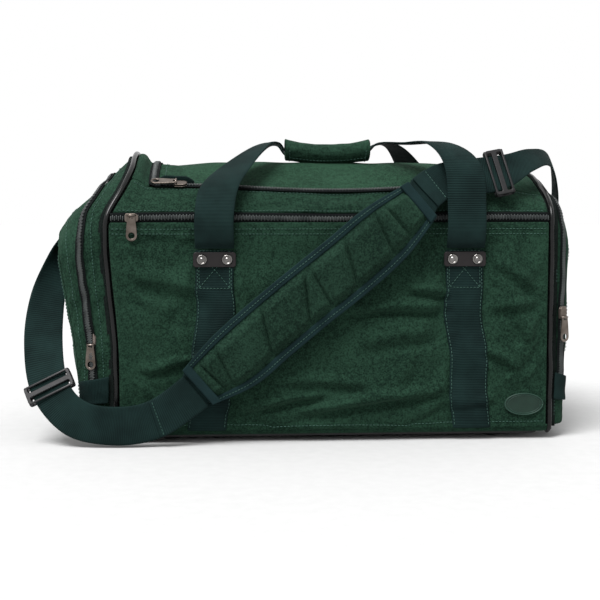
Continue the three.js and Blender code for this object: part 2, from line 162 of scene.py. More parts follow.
def canvas_material(name, dark, light, pitch=0.0011, sheen=0.05):
    """Plain-woven canvas: warp over weft, mottled colour and a faint nap."""
    n = Nodes(name, roughness=0.92, sheen=sheen, specular=0.06)
    n.set("Sheen Tint", (0.35, 0.75, 0.50, 1))
    across, along = n.weave()
    threads = n.math("MULTIPLY", n.wave(across, pitch), n.wave(along, pitch))
    slub = n.noise(520.0, 2.0)
    grain = n.noise(190.0, 3.0)
    mottle = n.noise(16.0, 4.0)
    shade = n.math("ADD", n.math("MULTIPLY", mottle, 0.20), n.math("MULTIPLY", slub, 0.52))
    shade = n.math("ADD", shade, n.math("MULTIPLY", grain, 0.28))
    n.link(n.blend(shade, dark, light, 0.41, 0.58), n.shader.inputs["Base Color"])
    coarse = n.bump(grain, 0.30, 0.0010)
    height = n.math("ADD", threads, n.math("MULTIPLY", slub, 1.2))
    n.link(n.bump(height, 0.6, 0.0004, coarse), n.shader.inputs["Normal"])
    return n.material


def webbing_material(name, dark, light, rib=0.0021):
    """Ribbed webbing: ribs across the band and fine threads along it."""
    n = Nodes(name, roughness=0.80, specular=0.08)
    across, along = n.weave()
    ribs = n.wave(along, rib)
    threads = n.wave(across, 0.0013)
    height = n.math("ADD", n.math("MULTIPLY", ribs, 0.8), n.math("MULTIPLY", threads, 0.4))
    # The colour follows the rib and thread height: painted shade darkens the grooves between them,
    # over a random tone.
    tone = n.math("ADD", n.math("MULTIPLY", height, 0.35), n.math("MULTIPLY", n.noise(30.0), 0.6))
    n.link(n.blend(tone, dark, light, 0.28, 0.72), n.shader.inputs["Base Color"])
    n.link(n.bump(height, 0.8, 0.0004), n.shader.inputs["Normal"])
    return n.material


def plain_material(name, dark, light, roughness, metallic=0.0, scale=60.0, bump=0.1, coat=0.0):
    """Moulded plastic, vinyl or metal: faint mottling and a slightly uneven skin."""
    n = Nodes(name, roughness=roughness, metallic=metallic, coat=coat, specular=0.25)
    mottle = n.noise(scale, 4.0)
    n.link(n.blend(mottle, dark, light), n.shader.inputs["Base Color"])
    rough = n.math("MULTIPLY_ADD", n.noise(scale * 3), 0.25)
    rough.node.inputs[2].default_value = roughness - 0.12
    n.link(rough, n.shader.inputs["Roughness"])
    n.link(n.bump(n.noise(scale * 12), bump, 0.0004), n.shader.inputs["Normal"])
    return n.material


CANVAS_GREEN = canvas_material("canvas_green", (0.0032, 0.0110, 0.0068), (0.0125, 0.0350, 0.0215))
FLAP_GREEN = canvas_material("flap_green", (0.0048, 0.0155, 0.0090), (0.0150, 0.0430, 0.0250))
PAD_GREEN = canvas_material("pad_green", (0.0030, 0.0100, 0.0064), (0.0110, 0.0300, 0.0190), 0.0009)
LINING = canvas_material("lining", (0.0030, 0.0050, 0.0045), (0.007, 0.010, 0.009), 0.0008, 0.0)
WEBBING_TEAL = webbing_material("webbing_teal", (0.0010, 0.0045, 0.0045), (0.0070, 0.0200, 0.0185))
BINDING = webbing_material("binding", (0.0025, 0.0085, 0.0095), (0.0080, 0.0230, 0.0240), 0.0014)
ZIP_TAPE = webbing_material("zip_tape", (0.0012, 0.0020, 0.0022), (0.0040, 0.0058, 0.0060), 0.0012)
ZIP_COIL = plain_material("zip_coil", (0.020, 0.024, 0.024), (0.050, 0.056, 0.055), 0.42)
THREAD = plain_material("thread", (0.015, 0.048, 0.036), (0.035, 0.085, 0.066), 0.6)
LABEL = plain_material("label", (0.10, 0.26, 0.03), (0.16, 0.36, 0.05), 0.6)
PIPING = plain_material("piping_vinyl", (0.0015, 0.0018, 0.0018), (0.004, 0.0045, 0.0045), 0.24,
                        bump=0.05)
BLACK_PLASTIC = plain_material("black_plastic", (0.004, 0.004, 0.0045), (0.009, 0.009, 0.010), 0.42)
PLATE_BLACK = plain_material("plate_black", (0.0055, 0.0042, 0.0045), (0.011, 0.0085, 0.009), 0.42)
WHEEL_GREY = plain_material("wheel_grey", (0.010, 0.011, 0.012), (0.022, 0.023, 0.024), 0.55)
NICKEL = plain_material("antique_nickel", (0.085, 0.070, 0.058), (0.20, 0.17, 0.15), 0.34, 1.0)
BRIGHT = plain_material("bright_nickel", (0.12, 0.115, 0.11), (0.24, 0.23, 0.22), 0.18, 1.0,
                        bump=0.0)
BADGE = plain_material("badge_rubber", (0.0035, 0.014, 0.009), (0.006, 0.021, 0.0135), 0.45)
RIM = plain_material("badge_rim", (0.008, 0.028, 0.019), (0.014, 0.042, 0.029), 0.4)


# ---- making meshes -------------------------------------------------------------------------
def mesh_object(name, points, faces, material, weave=None, flat=False):
    """A new object whose mesh is in the row frame, with its cloth coordinates if it has any."""
    mesh = bpy.data.meshes.new(name)
    mesh.from_pydata([tuple(p) for p in points], [], faces)
    if weave is not None:
        attribute = mesh.attributes.new("weave", "FLOAT_VECTOR", "POINT")
        for i, value in enumerate(weave):
            attribute.data[i].vector = value
    if not flat:
        mesh.polygons.foreach_set("use_smooth", [True] * len(mesh.polygons))
    mesh.materials.append(material)
    mesh.update()
    return placed(bpy.data.objects.new(name, mesh))


def placed(thing):
    """Puts an object in the scene."""
    bpy.context.scene.collection.objects.link(thing)
    return thing


def circle(centre, side, up, radius, sides):
    """Points of a circle, given two directions across it."""
    angles = [2 * math.pi * k / sides for k in range(sides)]
    return [centre + (side * math.cos(a) + up * math.sin(a)) * radius for a in angles]


def skin(rings, sides, first=0):
    """Faces of a closed skin over a row of rings whose points start at index first."""
    faces = []
    for r in range(rings - 1):
        for k in range(sides):
            a, b = first + r * sides + k, first + r * sides + (k + 1) % sides
            faces.append((a, b, b + sides, a + sides))
    faces.append(tuple(first + k for k in reversed(range(sides))))
    faces.append(tuple(first + (rings - 1) * sides + k for k in range(sides)))
    return faces


def finish_piece(piece, body, slot, *nodes):
    """Fixes a piece to its body and hides the plain solids it stands for; its slot is not used."""
    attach(piece, body)
    if nodes:
        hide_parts(*nodes)
    return piece


def thicken(piece, thickness, subdivide=0, offset=-1.0):
    """Gives a sheet its thickness: behind it at offset -1, on both sides at 0, in front at 1."""
    solidify = piece.modifiers.new("thickness", "SOLIDIFY")
    solidify.thickness = thickness
    solidify.offset = offset
    if subdivide:
        surface = piece.modifiers.new("smooth", "SUBSURF")
        surface.levels = surface.render_levels = subdivide


class Cloth:
    """A sheet of fabric as a grid of points that can be settled, rumpled and measured."""

    def __init__(self, surface, columns, rows, width, height):
        self.columns, self.rows = columns, rows
        self.width, self.height = width, height
        self.points = [surface(u, v) for u, v in self.shares()]

    def laid_on(self, surface):
        """A sheet of the same grid that lies exactly on a surface."""
        return Cloth(surface, self.columns, self.rows, self.width, self.height)

    def clear_of(self, surface):
        """Brings back any point that has sunk behind the surface the cloth lies on."""
        lies_on = self.laid_on(surface)
        for k, (u, v) in enumerate(self.shares()):
            normal = lies_on.normal(u, v)
            sunk = (self.points[k] - lies_on.points[k]).dot(normal)
            if sunk < 0:
                self.points[k] = self.points[k] - normal * sunk

    def press(self, u0, v0, radius, surface):
        """Lays the cloth flat on its surface round a point, as under a badge."""
        lies_on = self.laid_on(surface)
        for k, (u, v) in enumerate(self.shares()):
            along = (u - u0) * self.width
            up = (v - v0) * self.height * 1.5
            near = 1 - smooth(radius, 2.2 * radius, math.hypot(along, up))
            self.points[k] = self.points[k].lerp(lies_on.points[k], near)

    def index(self, i, j):
        return j * (self.columns + 1) + i

    def shares(self):
        """Every grid point's (u, v), from 0 to 1 across and along the sheet."""
        return [(i / self.columns, j / self.rows)
                for j in range(self.rows + 1) for i in range(self.columns + 1)]

    def faces(self):
        """The grid's squares, as indices of its points."""
        return [(self.index(i, j), self.index(i + 1, j), self.index(i + 1, j + 1),
                 self.index(i, j + 1)) for j in range(self.rows) for i in range(self.columns)]

    def point(self, u, v):
        """The place at a share (u, v) of the sheet, between its grid points."""
        x = min(max(u, 0.0), 1.0) * self.columns
        y = min(max(v, 0.0), 1.0) * self.rows
        i, j = min(int(x), self.columns - 1), min(int(y), self.rows - 1)
        low = self.points[self.index(i, j)].lerp(self.points[self.index(i + 1, j)], x - i)
        high = self.points[self.index(i, j + 1)].lerp(self.points[self.index(i + 1, j + 1)], x - i)
        return low.lerp(high, y - j)

    def normal(self, u, v):
        du, dv = 0.6 / self.columns, 0.6 / self.rows
        along = self.point(u + du, v) - self.point(u - du, v)
        across = self.point(u, v + dv) - self.point(u, v - dv)
        return along.cross(across).normalized()

    def at(self, u, v, height=0.0):
        """A point that stands off the sheet by a height."""
        return self.point(u, v) + self.normal(u, v) * height

    def push(self, distance):
        """Moves every point along its normal by distance(u, v)."""
        self.points = [point + self.normal(u, v) * distance(u, v)
                       for point, (u, v) in zip(self.points, self.shares())]

    def rumple(self, amount, scale, seed, edge=0.05):
        """Soft folds along the normal, fading out towards the sewn edges."""
        def fold(u, v):
            fade = min(smooth(0, edge, u), smooth(0, edge, 1 - u),
                       smooth(0, edge, v), smooth(0, edge, 1 - v))
            where = Vector((u * self.width * scale[0], v * self.height * scale[1], seed))
            size = noise.noise(where) + 0.5 * noise.noise(where * 2.1 + Vector((7, 3, 1)))
            return size * amount * fade
        self.push(fold)

    def crease(self, start, end, depth, width):
        """A fold between two points: a valley with a soft ridge along its upper side."""
        size = Vector((self.width, self.height))
        first, last = Vector(start) * size, Vector(end) * size
        run = last - first
        side = Vector((-run.y, run.x)).normalized()

        def fold(u, v):
            here = Vector((u, v)) * size - first
            t = here.dot(run) / run.length_squared
            fade = smooth(-0.15, 0.25, t) * smooth(-0.15, 0.25, 1 - t)
            off = here.dot(side) + 0.12 * width * math.sin(9 * t)
            shape = 0.8 * math.exp(-((off - 1.7 * width) / width) ** 2)
            shape -= math.exp(-(off / (0.8 * width)) ** 2)
            return shape * depth * fade
        self.push(fold)

    def belly(self, amount, dips=(), spread=0.10):
        """Fills the fabric out, except near its edges and at the dips where it is held."""
        def fullness(u, v):
            fill = smooth(0, 0.28, min(u, 1 - u) * self.width / 0.3)
            fill *= smooth(0, 0.40, min(v, 1 - v) * self.height / 0.27)
            for dip, low in dips:
                near = 1 - smooth(0.03, 0.03 + spread, abs(u - dip))
                fill *= 1 - near * lerp(0.35, 1.0, smooth(low - 0.3, low, v))
            return amount * fill
        self.push(fullness)

    def settle(self, pinned, slack=0.02, pressure=0.4, gravity=1.0, cap=0.012, frames=16):
        """Lets the fabric fall and fill out by cloth simulation, held where pinned(u, v).

        No point moves further than the cap.
        """
        piece = mesh_object("settling", self.points, self.faces(), CANVAS_GREEN)
        held = piece.vertex_groups.new(name="held")
        held.add([k for k, (u, v) in enumerate(self.shares()) if pinned(u, v)], 1.0, "REPLACE")
        modifier = piece.modifiers.new("Cloth", "CLOTH")
        settings = modifier.settings
        settings.vertex_group_mass = "held"
        settings.quality = 6
        settings.mass = 0.35
        settings.tension_stiffness = settings.compression_stiffness = 18
        settings.shear_stiffness = 6
        settings.bending_stiffness = 0.6
        settings.use_pressure = True
        settings.uniform_pressure_force = pressure
        settings.shrink_min = -slack
        settings.effector_weights.gravity = gravity
        modifier.collision_settings.use_collision = False
        modifier.point_cache.frame_end = frames
        scene = bpy.context.scene
        for step in range(1, frames + 1):
            scene.frame_set(step)
        shown = piece.evaluated_get(bpy.context.evaluated_depsgraph_get())
        for i, vertex in enumerate(shown.data.vertices):
            move = vertex.co - self.points[i]
            if move.length > cap:
                move *= cap / move.length
            self.points[i] = self.points[i] + move
        bpy.data.objects.remove(piece)
        scene.frame_set(1)

    def build(self, name, material, thickness=0.0016, subdivide=1, offset=-1.0):
        weave = [(u * self.width, v * self.height, 0) for u, v in self.shares()]
        piece = mesh_object(name, self.points, self.faces(), material, weave)
        thicken(piece, thickness, subdivide, offset)
        return piece


class Pile:
    """Many small like shapes gathered into one mesh."""

    def __init__(self):
        self.points, self.faces = [], []

    def bead(self, start, end, normal, radius, rise=0.0, sides=5, pinch=0.55):
        """A short rounded rod, such as a stitch or a zipper tooth."""
        axis = (end - start).normalized()
        side = axis.cross(normal).normalized()
        up = side.cross(axis)
        self.faces += skin(4, sides, len(self.points))
        for centre, size in ((start, pinch), (start.lerp(end, 0.2) + normal * rise, 1.0),
                             (start.lerp(end, 0.8) + normal * rise, 1.0), (end, pinch)):
            self.points += circle(centre, side, up, radius * size, sides)

    def build(self, name, material):
        return mesh_object(name, self.points, self.faces, material)


stitching = {}  # the stitches of each body, gathered as they are sewn


def stitch(body, route, length, pitch=0.0046, radius=0.00045):
    """A row of stitches on a body. route(t) gives a point of the fabric and its normal."""
    pile = stitching.setdefault(body, Pile())
    count = max(2, round(length / pitch))
    for k in range(count):
        (start, normal), (end, _) = route((k + 0.12) / count), route((k + 0.80) / count)
        pile.bead(start, end, normal, radius, rise=0.0003)


def cloth_line(cloth, start, end, height=0.0002):
    """A straight line on a cloth, for stitch()."""
    def route(t):
        u, v = lerp(start[0], end[0], t), lerp(start[1], end[1], t)
        return cloth.at(u, v, height), cloth.normal(u, v)
    places = [cloth.point(lerp(start[0], end[0], k / 8), lerp(start[1], end[1], k / 8))
              for k in range(9)]
    return route, sum((b - a).length for a, b in zip(places, places[1:]))


def tube(name, points, radius, material, sides=10):
    """A closed-ended tube along a list of points."""
    made = []
    side = None
    for i, point in enumerate(points):
        ahead = (points[min(i + 1, len(points) - 1)] - points[max(i - 1, 0)]).normalized()
        if side is None:
            side = ahead.orthogonal().normalized()
        side = (side - ahead * side.dot(ahead)).normalized()
        made += circle(point, side, ahead.cross(side), radius, sides)
    return mesh_object(name, made, skin(len(points), sides), material)


def spline(points, t):
    """A point of the smooth curve through the points, t from 0 to 1."""
    x = min(max(t, 0.0), 1.0) * (len(points) - 1)
    i = min(int(x), len(points) - 2)
    f = x - i
    p1, p2 = points[i], points[i + 1]
    p0 = points[i - 1] if i else p1 * 2 - p2
    p3 = points[i + 2] if i + 2 < len(points) else p2 * 2 - p1
    return 0.5 * (2 * p1 + (p2 - p0) * f + (2 * p0 - 5 * p1 + 4 * p2 - p3) * f * f
                  + (3 * p1 - p0 - 3 * p2 + p3) * f ** 3)


def band_cloth(stations, per=8, across=8):
    """Webbing through stations of (centre, direction across, width), in millimetres."""
    edges = []
    for side in (-0.5, 0.5):
        edge = []
        for centre, direction, *width in stations:
            wide = (width[0] if width else 1000 * WEBBING_WIDTH) * side / 1000
            edge.append(CENTRE + Vector(centre) / 1000 + Vector(direction).normalized() * wide)
        edges.append(edge)
    rows = (len(stations) - 1) * per
    middle = [CENTRE + Vector(s[0]) / 1000 for s in stations]
    length = sum((middle[k + 1] - middle[k]).length for k in range(len(middle) - 1))
    return Cloth(lambda u, v: spline(edges[0], v).lerp(spline(edges[1], v), u),
                 across, rows, WEBBING_WIDTH, length)


def layer(cloth, low, high, height):
    """A second thickness of cloth over part of another one."""
    return Cloth(lambda u, v: cloth.at(u, lerp(low, high, v), height), 8, 12,
                 cloth.width, cloth.height * (high - low))


def outline_plate(name, outline, holes, thickness, bevel, matrix, material):
    """A flat plate with rounded edges, from an outline and its holes in millimetres."""
    curve = bpy.data.curves.new(name, "CURVE")
    curve.dimensions = "2D"
    curve.fill_mode = "BOTH"
    curve.extrude = thickness / 2 - bevel
    curve.bevel_depth = bevel
    curve.bevel_resolution = 2
    curve.offset = -bevel
    for loop in [outline, *holes]:
        path = curve.splines.new("POLY")
        path.points.add(len(loop) - 1)
        for point, (x, y) in zip(path.points, loop):
            point.co = (x / 1000, y / 1000, 0, 1)
        path.use_cyclic_u = True
    holder = placed(bpy.data.objects.new(name, curve))
    shown = holder.evaluated_get(bpy.context.evaluated_depsgraph_get())
    mesh = bpy.data.meshes.new_from_object(shown)
    bpy.data.objects.remove(holder)
    mesh.transform(matrix)
    mesh.materials.clear()
    mesh.materials.append(material)
    return placed(bpy.data.objects.new(name, mesh))


def arc(x, y, radius, start, end, steps=8):
    """Points of an arc, angles in degrees."""
    return [(x + radius * math.cos(math.radians(lerp(start, end, k / steps))),
             y + radius * math.sin(math.radians(lerp(start, end, k / steps))))
            for k in range(steps + 1)]


def rounded(width, height, radius):
    """The outline of a rectangle with round corners."""
    w, h = width / 2 - radius, height / 2 - radius
    corners = ((w, h), (-w, h), (-w, -h), (w, -h))
    return [point for k, (x, y) in enumerate(corners)
            for point in arc(x, y, radius, 90 * k, 90 * k + 90, 5)]


def axes_matrix(x, y, z, origin):
    """The matrix that turns a shape to three axes and moves it to an origin."""
    made = Matrix.Identity(4)
    for column, axis in enumerate((x, y, z, origin)):
        for row in range(3):
            made[row][column] = axis[row]
    return made


# ---- the bag's outline ---------------------------------------------------------------------
BODY = dict(half=HALF_DEPTH, bottom=BOTTOM, top=SHOULDER, crown=CROWN)


def outline_point(across, rise, half, bottom, top, crown):
    """(y, z) of the body's end outline: across from -1 to 1, rise from 0 to 1."""
    roll = max(0.0, (rise - 0.84) / 0.16)
    y = across * (half - ROLL * roll * roll)
    return y, lerp(bottom, top, rise) + crown * (1 - across * across) * rise


def round_the_end(u, outline):
    """(y, z) at a share u of the way up the front, over the top and down the back."""
    if u < 0.4:
        return outline_point(-1, u / 0.4, **outline)
    if u > 0.6:
        return outline_point(1, (1 - u) / 0.4, **outline)
    return outline_point((u - 0.5) * 10, 1, **outline)


def slumped(x, y, z):
    """Fabric sags: the left end bellies out and leans in at its top, the right one droops."""
    left = smooth(0.235, 0.275, -x)
    top = smooth(0.292, 0.345, z)
    belly = smooth(0.10, 0.27, z) * (1 - smooth(0.275, 0.325, z))
    corner = left * (1 - smooth(0.290, 0.335, -x))
    x += left * (0.020 * top - 0.011 * belly)
    z += top * (0.014 * corner - 0.014 * smooth(0.20, 0.29, x))
    return CENTRE + Vector((x, y, z))


# ---- body panels ---------------------------------------------------------------------------
def upright(side, low, high, outward=0.0):
    """The surface of the front (side -1) or back panel between two heights, as shares."""
    def surface(u, v):
        y, z = outline_point(side, lerp(low, high, v), **BODY)
        return slumped(side * lerp(1, -1, u) * HALF_LENGTH, y + side * outward, z)
    return surface


# Folds of the front pocket: start and end as shares of its length and height, depth, width.
FRONT_FOLDS = [
    ((0.04, 0.93), (0.19, 0.89), 0.00506, 0.004),
    ((0.03, 0.72), (0.20, 0.60), 0.0069, 0.0096),
    ((0.06, 0.27), (0.22, 0.34), 0.00782, 0.0056),
    ((0.10, 0.12), (0.22, 0.17), 0.00598, 0.0064),
    ((0.30, 0.09), (0.48, 0.16), 0.00782, 0.0064),
    ((0.38, 0.22), (0.56, 0.20), 0.00598, 0.0072),
    ((0.42, 0.06), (0.75, 0.17), 0.01058, 0.0068),
    ((0.52, 0.56), (0.75, 0.57), 0.00874, 0.006),
    ((0.66, 0.67), (0.765, 0.63), 0.00782, 0.0048),
    ((0.56, 0.38), (0.74, 0.44), 0.00506, 0.0096),
    ((0.85, 0.36), (0.92, 0.28), 0.0069, 0.0052),
    ((0.90, 0.62), (0.94, 0.40), 0.00598, 0.0072),
    ((0.86, 0.80), (0.97, 0.64), 0.00552, 0.0064),
    ((0.84, 0.10), (0.98, 0.13), 0.0069, 0.0064),
    ((0.84, 0.55), (0.97, 0.58), 0.0046, 0.0064),
]


def edges_held(u, v):
    """True on the sewn edges of a sheet."""
    return u in (0.0, 1.0) or v in (0.0, 1.0)


def make_front():
    """The front pocket: it bellies between its legs and creases, and lies flat at the badge."""
    surface = upright(-1, 0.006, 0.852, 0.0034)
    height = 0.267
    cloth = Cloth(surface, 130, 64, 2 * HALF_LENGTH, height)
    legs = [0.5 + x / (2 * HALF_LENGTH) for x in LEG_X.values()]
    low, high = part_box("badge")

    def held(u, v):
        on_leg = any(abs(u - leg) < 0.04 for leg in legs)
        return edges_held(u, v) or (on_leg and (v > 0.66 or v < 0.08))

    cloth.belly(0.0115, [(leg, 0.68) for leg in legs])
    cloth.settle(held, slack=0.022, pressure=2.0, gravity=0.25, cap=0.004)
    for fold in FRONT_FOLDS:
        cloth.crease(*fold)
    cloth.rumple(0.0024, (14, 22), 3.0)
    cloth.press(((low.x + high.x) / 2 - CENTRE.x) / (2 * HALF_LENGTH) + 0.5,
                ((low.z + high.z) / 2 - 0.016) / height, 0.030, surface)
    cloth.clear_of(surface)
    finish_piece(cloth.build("front_pocket_cloth", CANVAS_GREEN), "bag", "canvas_green",
                 "front_pocket_panel")
    for v in (0.968, 0.945):
        stitch("bag", *cloth_line(cloth, (0.005, v), (0.995, v)))
    stitch("bag", *cloth_line(cloth, (0.005, 0.03), (0.995, 0.03)))
    return cloth


BACK_FOLDS = [
    ((0.05, 0.20), (0.20, 0.30), 0.006, 0.0064),
    ((0.28, 0.12), (0.68, 0.18), 0.008, 0.0072),
    ((0.30, 0.50), (0.66, 0.44), 0.0056, 0.008),
    ((0.32, 0.76), (0.60, 0.80), 0.0048, 0.0056),
    ((0.80, 0.30), (0.95, 0.22), 0.006, 0.0064),
    ((0.82, 0.66), (0.96, 0.58), 0.0048, 0.0072),
]


def make_back():
    """The back panel, plainer than the front."""
    surface = upright(1, 0.0, ZIP_RISE)
    cloth = Cloth(surface, 110, 60, 2 * HALF_LENGTH, 0.28)
    cloth.belly(0.007, [(0.5 - x / (2 * HALF_LENGTH), 0.66) for x in LEG_X.values()])
    cloth.settle(edges_held, slack=0.02, pressure=2.0, gravity=0.25, cap=0.004)
    for fold in BACK_FOLDS:
        cloth.crease(*fold)
    cloth.rumple(0.0024, (12, 18), 9.0)
    cloth.clear_of(surface)
    finish_piece(cloth.build("back_cloth", CANVAS_GREEN, 0.002), "bag", "canvas_green",
                 "back_panel")
    for v in (0.03, 0.975):
        stitch("bag", *cloth_line(cloth, (0.005, v), (0.995, v)))
    return cloth


def over_the_top(x, share):
    """A point of the top, from the front zipper (0) over the crown to the back (1)."""
    if share < 0.25:
        y, z = outline_point(-1, lerp(ZIP_RISE + 0.004, 1, share * 4), **BODY)
    elif share > 0.75:
        y, z = outline_point(1, lerp(1, ZIP_RISE - 0.002, share * 4 - 3), **BODY)
    else:
        y, z = outline_point((share - 0.5) * 4, 1, **BODY)
    return slumped(x, y, z)


FLAP_LEFT, FLAP_RIGHT = -0.228, 0.206
FLAP_FRONT, FLAP_REAR = -0.108, 0.106
TAPE = 0.0096
EDGE_DEPTH = HALF_DEPTH - ROLL


def share_at(y):
    """The share over the top at a depth y of the crowned part."""
    return 0.5 + y / EDGE_DEPTH / 4


def front_line(x):
    """The share where the flap's front edge lies: it droops along its middle."""
    t = min(1.0, max(0.0, (x - FLAP_LEFT) / (FLAP_RIGHT - FLAP_LEFT)))
    return share_at(FLAP_FRONT) - 0.05 * math.sin(math.pi * t) ** 2 * (0.8 + 0.4 * t)


def top_patch(name, x0, x1, share0, share1, seed):
    """One strip of the top panel round the flap."""
    columns = max(6, round((x1 - x0) / 0.006))
    rows = max(6, round((share1 - share0) * 60))

    def surface(u, v):
        x = lerp(x0, x1, u)
        droop = front_line(x) - share_at(FLAP_FRONT) if share0 == 0 else 0
        return over_the_top(x, lerp(share0, share1 + droop, v))
    cloth = Cloth(surface, columns, rows, x1 - x0, (share1 - share0) * 0.34)
    cloth.rumple(0.0030, (16, 26), seed, 0.12)
    return finish_piece(cloth.build(name, CANVAS_GREEN, 0.0022), "bag", "canvas_green"), cloth


def make_top():
    """The top panel in four strips round the opening, and the flap with its seam and lips."""
    left, right = FLAP_LEFT - TAPE, FLAP_RIGHT + TAPE
    front, rear = share_at(FLAP_FRONT - TAPE), share_at(FLAP_REAR)
    strip, front_cloth = top_patch("top_front_cloth", -HALF_LENGTH, HALF_LENGTH, 0, front, 21)
    top_patch("top_rear_cloth", -HALF_LENGTH, HALF_LENGTH, rear, 1, 22)
    top_patch("top_left_cloth", -HALF_LENGTH, left, front, rear, 23)
    top_patch("top_right_cloth", right, HALF_LENGTH, front, rear, 24)
    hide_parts("top_panel")
    for v in (0.90, 0.08):
        stitch("bag", *cloth_line(front_cloth, (0.01, v), (0.99, v)))

    def flap_surface(u, v):
        x = lerp(FLAP_LEFT, FLAP_RIGHT, u)
        return over_the_top(x, lerp(front_line(x), rear, v))
    flap = Cloth(flap_surface, 90, 46, 0.434, 0.216)
    flap.belly(0.005)
    flap.settle(edges_held, slack=0.012, pressure=2.0, gravity=0.05, cap=0.004)
    flap.rumple(0.0034, (10, 14), 31.0)
    finish_piece(flap.build("flap_cloth", FLAP_GREEN, 0.0022), "flap", "canvas_green",
                 "top_flap")
    stitch("flap", *cloth_line(flap, (0.03, 0.045), (0.97, 0.045)))
    for u in (0.022, 0.978):
        stitch("flap", *cloth_line(flap, (u, 0.04), (u, 0.97)))
    seam = [over_the_top(lerp(FLAP_LEFT, FLAP_RIGHT, k / 60), rear) for k in range(61)]
    roll = tube("flap_seam", [p - Vector((0, 0, 0.0022)) for p in seam], 0.0030, CANVAS_GREEN)
    finish_piece(roll, "bag", "canvas_green")
    for name, start, end in (("left", 0.0, 0.11), ("right", 0.90, 1.0)):
        def lip(u, v):
            along = lerp(start, end, u)
            stand = 0.010 * v * smooth(-0.2, 0.25, u) * smooth(-0.2, 0.25, 1 - u)
            return flap.at(along, 0.012) + Vector((0, -0.3, 0.95)) * stand
        tab = Cloth(lip, 16, 4, 0.045, 0.010)
        finish_piece(tab.build(f"flap_lip_{name}", WEBBING_TEAL, 0.0022, 1, 0.0), "flap",
                     "webbing_teal")


# ---- zippers -------------------------------------------------------------------------------
def zipper(name, route, length, tape_width, *nodes):
    """Tape and interlocked coil along a route(t) of (point, across, normal)."""
    rows = max(24, round(length / 0.006))

    def tape_surface(u, v):
        point, across, normal = route(v)
        ridge = 0.0012 * math.exp(-((u - 0.5) * tape_width / 0.004) ** 2)
        return point + across * (u - 0.5) * tape_width + normal * ridge

    tape = Cloth(tape_surface, 8, rows, tape_width, length)
    finish_piece(tape.build(f"{name}_tape", ZIP_TAPE, 0.0008, 0), "bag", "zip_tape", *nodes)
    teeth = Pile()
    count = round(length / 0.0021)
    for k in range(count):
        point, across, normal = route((k + 0.5) / count)
        shift = across * (0.0006 if k % 2 else -0.0006)
        middle = point + normal * 0.0020 + shift
        teeth.bead(middle - across * 0.0031, middle + across * 0.0031, normal, 0.00085,
                   rise=0.0006, sides=6, pinch=0.7)
    finish_piece(teeth.build(f"{name}_teeth", ZIP_COIL), "bag", "zip_tape")


def front_zip():
    """The straight zipper along the top of the front pocket."""
    def route(t):
        y, z = outline_point(-1, 0.8685, **BODY)
        sag = 0.0012 * math.sin(t * 9.0)
        point = slumped(lerp(-HALF_LENGTH, HALF_LENGTH, t), y - 0.0012, z + sag)
        return point, Vector((0, 0, 1)), Vector((0, -1, 0))
    zipper("front_zip", route, 2 * HALF_LENGTH, 0.013, "front_pocket_zip")


def main_zip():
    """A U on the top: down the left side of the flap, along its front and back up the right."""
    left, right = FLAP_LEFT - TAPE / 2, FLAP_RIGHT + TAPE / 2
    front, rear = FLAP_FRONT - TAPE / 2, FLAP_REAR
    side_length = rear - front
    total = 2 * side_length + right - left

    def route(t):
        run = t * total
        if run < side_length:
            x, y, across = left, rear - run, Vector((1, 0, 0))
        elif run < total - side_length:
            x, y, across = left + run - side_length, front, Vector((0, 0.94, 0.33))
        else:
            x, y, across = right, front + run - (total - side_length), Vector((-1, 0, 0))
        share = share_at(y)
        if side_length <= run <= total - side_length:
            share = front_line(x) - TAPE / 2 / EDGE_DEPTH / 4
        point = over_the_top(x, share)
        ahead = over_the_top(x, share + 0.004) - over_the_top(x, share - 0.004)
        normal = Vector((1, 0, 0)).cross(ahead).normalized()
        return point + normal * 0.0004, across, normal
    zipper("main_zip", route, total, 0.0125, "main_zip")


# ---- end pockets ---------------------------------------------------------------------------
def gusset_surface(name):
    """The wall of an end pocket, from the body to the cover, once round from front to back."""
    pocket = END_POCKETS[name]
    side, x, lean, outline = (pocket[key] for key in ("side", "x", "lean", "outline"))

    def surface(u, v):
        outwards = v if side < 0 else 1 - v
        y0, z0 = round_the_end(u, BODY_END)
        y1, z1 = round_the_end(u, outline)
        rise = 1 - abs(2 * u - 1)
        cover_x = x + lean * min(1.0, rise * 1.25)
        return slumped(side * lerp(GUSSET_START, cover_x, outwards),
                       lerp(y0, y1, outwards), lerp(z0, z1, outwards))
    return surface


